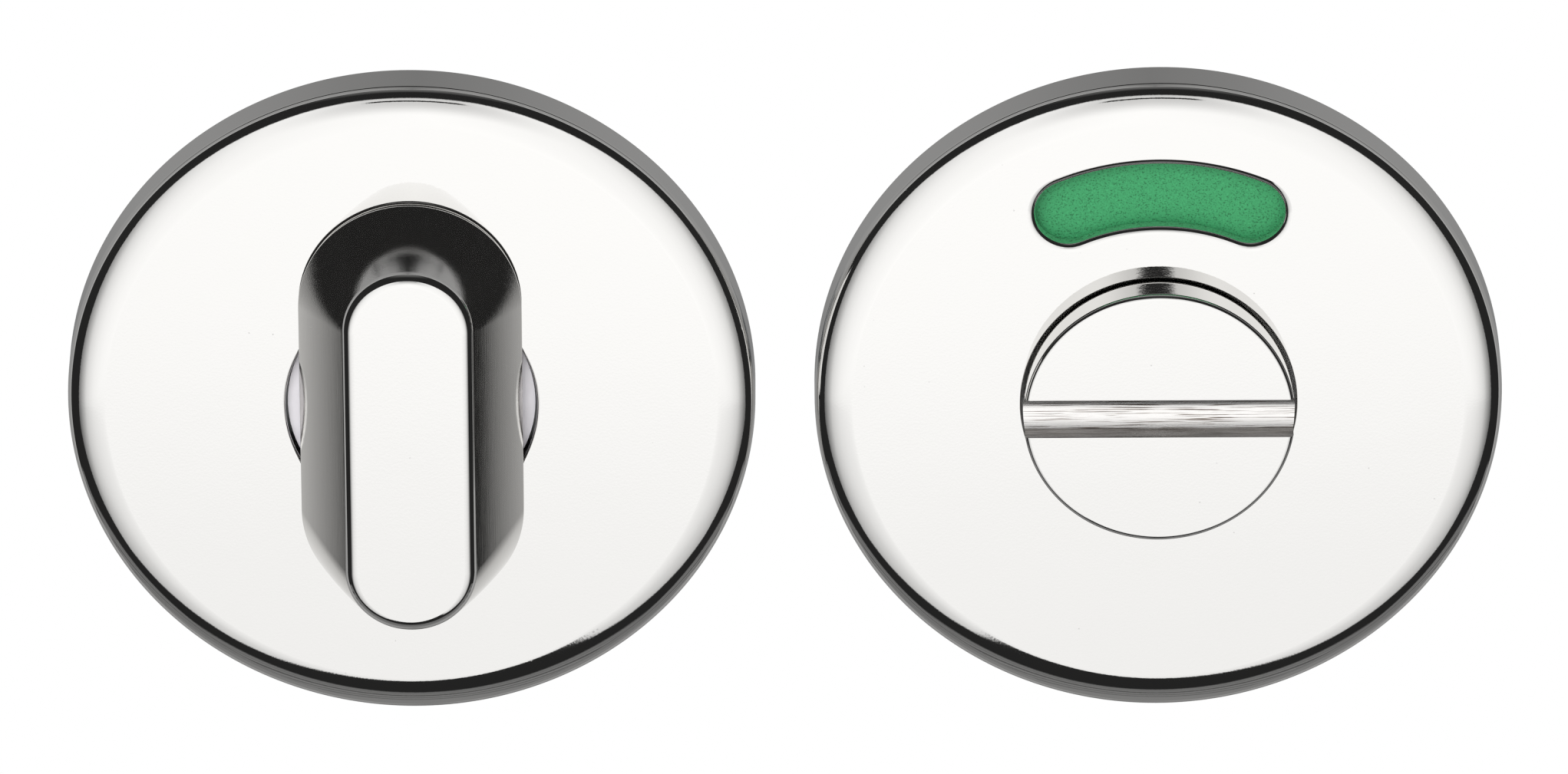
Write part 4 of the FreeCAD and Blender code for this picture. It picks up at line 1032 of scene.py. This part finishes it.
class OBJECT_OT_lock_covers(bpy.types.Operator):
    """Build the two pressed covers."""

    bl_idname = "object.lock_covers"
    bl_label = "Covers"

    def execute(self, context):
        scene = context.scene
        steel = polished_stainless(scene.lock_finish, "buffed_stainless_sheet")
        build_turn_cover(scene.lock_shape, steel)
        build_release_cover(scene.lock_shape, steel)
        return {"FINISHED"}


class OBJECT_OT_lock_turn(bpy.types.Operator):
    """Build the thumb turn."""

    bl_idname = "object.lock_turn"
    bl_label = "Thumb turn"

    def execute(self, context):
        scene = context.scene
        steel = polished_stainless(scene.lock_finish, "buffed_stainless_casting")
        build_thumb_turn(scene.lock_shape, steel, brushed_stainless(scene.lock_finish))
        return {"FINISHED"}


class OBJECT_OT_lock_release(bpy.types.Operator):
    """Build the coin release."""

    bl_idname = "object.lock_release"
    bl_label = "Coin release"

    def execute(self, context):
        scene = context.scene
        steel = polished_stainless(scene.lock_finish, "buffed_stainless_bar")
        build_release_knob(scene.lock_shape, steel, milled_stainless(scene.lock_finish))
        return {"FINISHED"}


class OBJECT_OT_lock_fixings(bpy.types.Operator):
    """Build the screws and the pillars with their threads."""

    bl_idname = "object.lock_fixings"
    bl_label = "Screws and pillars"

    def execute(self, context):
        scene = context.scene
        plated = dull_metal("zinc_plated_fixings", scene.lock_finish.plated_colour, 0.4 * MM, 0.28, 0.1)
        build_screws(scene.lock_shape, plated)
        build_pillars(scene.lock_shape, plated)
        return {"FINISHED"}


def finish_nodes(material, *names):
    """Give the construction's own pieces a material."""
    for name in names:
        NODES[name].material_slots[0].material = material


class OBJECT_OT_lock_finish(bpy.types.Operator):
    """Give each piece of the lock its finish."""

    bl_idname = "object.lock_finish"
    bl_label = "Finishes"

    def execute(self, context):
        finish = context.scene.lock_finish
        finish_nodes(film_with_painted_dimple_shade("green_printed_film", finish.green_colour), "indicator_green_field")
        finish_nodes(film_with_painted_dimple_shade("red_printed_film", finish.red_colour), "indicator_red_field")
        finish_nodes(moulded_plastic("white_nylon_6", finish.nylon_colour, 0.4),
                     "turn_bush", "release_bush")
        finish_nodes(moulded_plastic("pale_acetal", finish.disc_colour, 0.35), "indicator_disc")
        finish_nodes(dull_metal("die_cast_zinc", finish.zinc_colour, 0.6 * MM, 0.45, 0.15),
                     "turn_inner_rose", "release_inner_rose")
        finish_nodes(dull_metal("zinc_plated_steel", finish.plated_colour, 0.4 * MM, 0.28, 0.1),
                     "turn_spindle", "turn_flat_washer", "release_flat_washer", "stop_pin")
        finish_nodes(dull_metal("phosphated_spring_steel", finish.spring_colour, 0.25 * MM, 0.4, 0.25),
                     "turn_circlip", "release_circlip", "turn_disc_spring", "release_disc_spring",
                     "turn_snap_ring", "release_snap_ring")
        finish_nodes(dull_metal("black_oxide_steel", finish.oxide_colour, 0.25 * MM, 0.4, 0.25),
                     "spindle_grub_screw")
        return {"FINISHED"}


class VIEW3D_PT_lock(bpy.types.Panel):
    """Steps of the lock, in order, with their sizes and colours."""

    bl_label = "Thumb turn lock"
    bl_space_type = "VIEW_3D"
    bl_region_type = "UI"
    bl_category = "Lock"

    def draw(self, context):
        for operator in OPERATORS:
            self.layout.operator(operator.bl_idname)
        scene = context.scene
        for settings in (scene.lock_shape, scene.lock_finish, scene.lock_stage):
            for name in settings.bl_rna.properties.keys():
                if name not in {"name", "rna_type"}:
                    self.layout.prop(settings, name)


OPERATORS = (OBJECT_OT_lock_stage, OBJECT_OT_lock_covers, OBJECT_OT_lock_turn, OBJECT_OT_lock_release,
             OBJECT_OT_lock_fixings, OBJECT_OT_lock_finish)
CLASSES = (LockShapeSettings, LockFinishSettings, LockStageSettings, *OPERATORS, VIEW3D_PT_lock)


def register():
    for item in CLASSES:
        bpy.utils.register_class(item)
    bpy.types.Scene.lock_shape = PointerProperty(type=LockShapeSettings)
    bpy.types.Scene.lock_finish = PointerProperty(type=LockFinishSettings)
    bpy.types.Scene.lock_stage = PointerProperty(type=LockStageSettings)


def unregister():
    del bpy.types.Scene.lock_stage
    del bpy.types.Scene.lock_finish
    del bpy.types.Scene.lock_shape
    for item in reversed(CLASSES):
        bpy.utils.unregister_class(item)


def main():
    register()
    bpy.ops.object.lock_stage()
    bpy.ops.object.lock_covers()
    bpy.ops.object.lock_turn()
    bpy.ops.object.lock_release()
    bpy.ops.object.lock_fixings()
    bpy.ops.object.lock_finish()


if __name__ == "__main__":
    main()
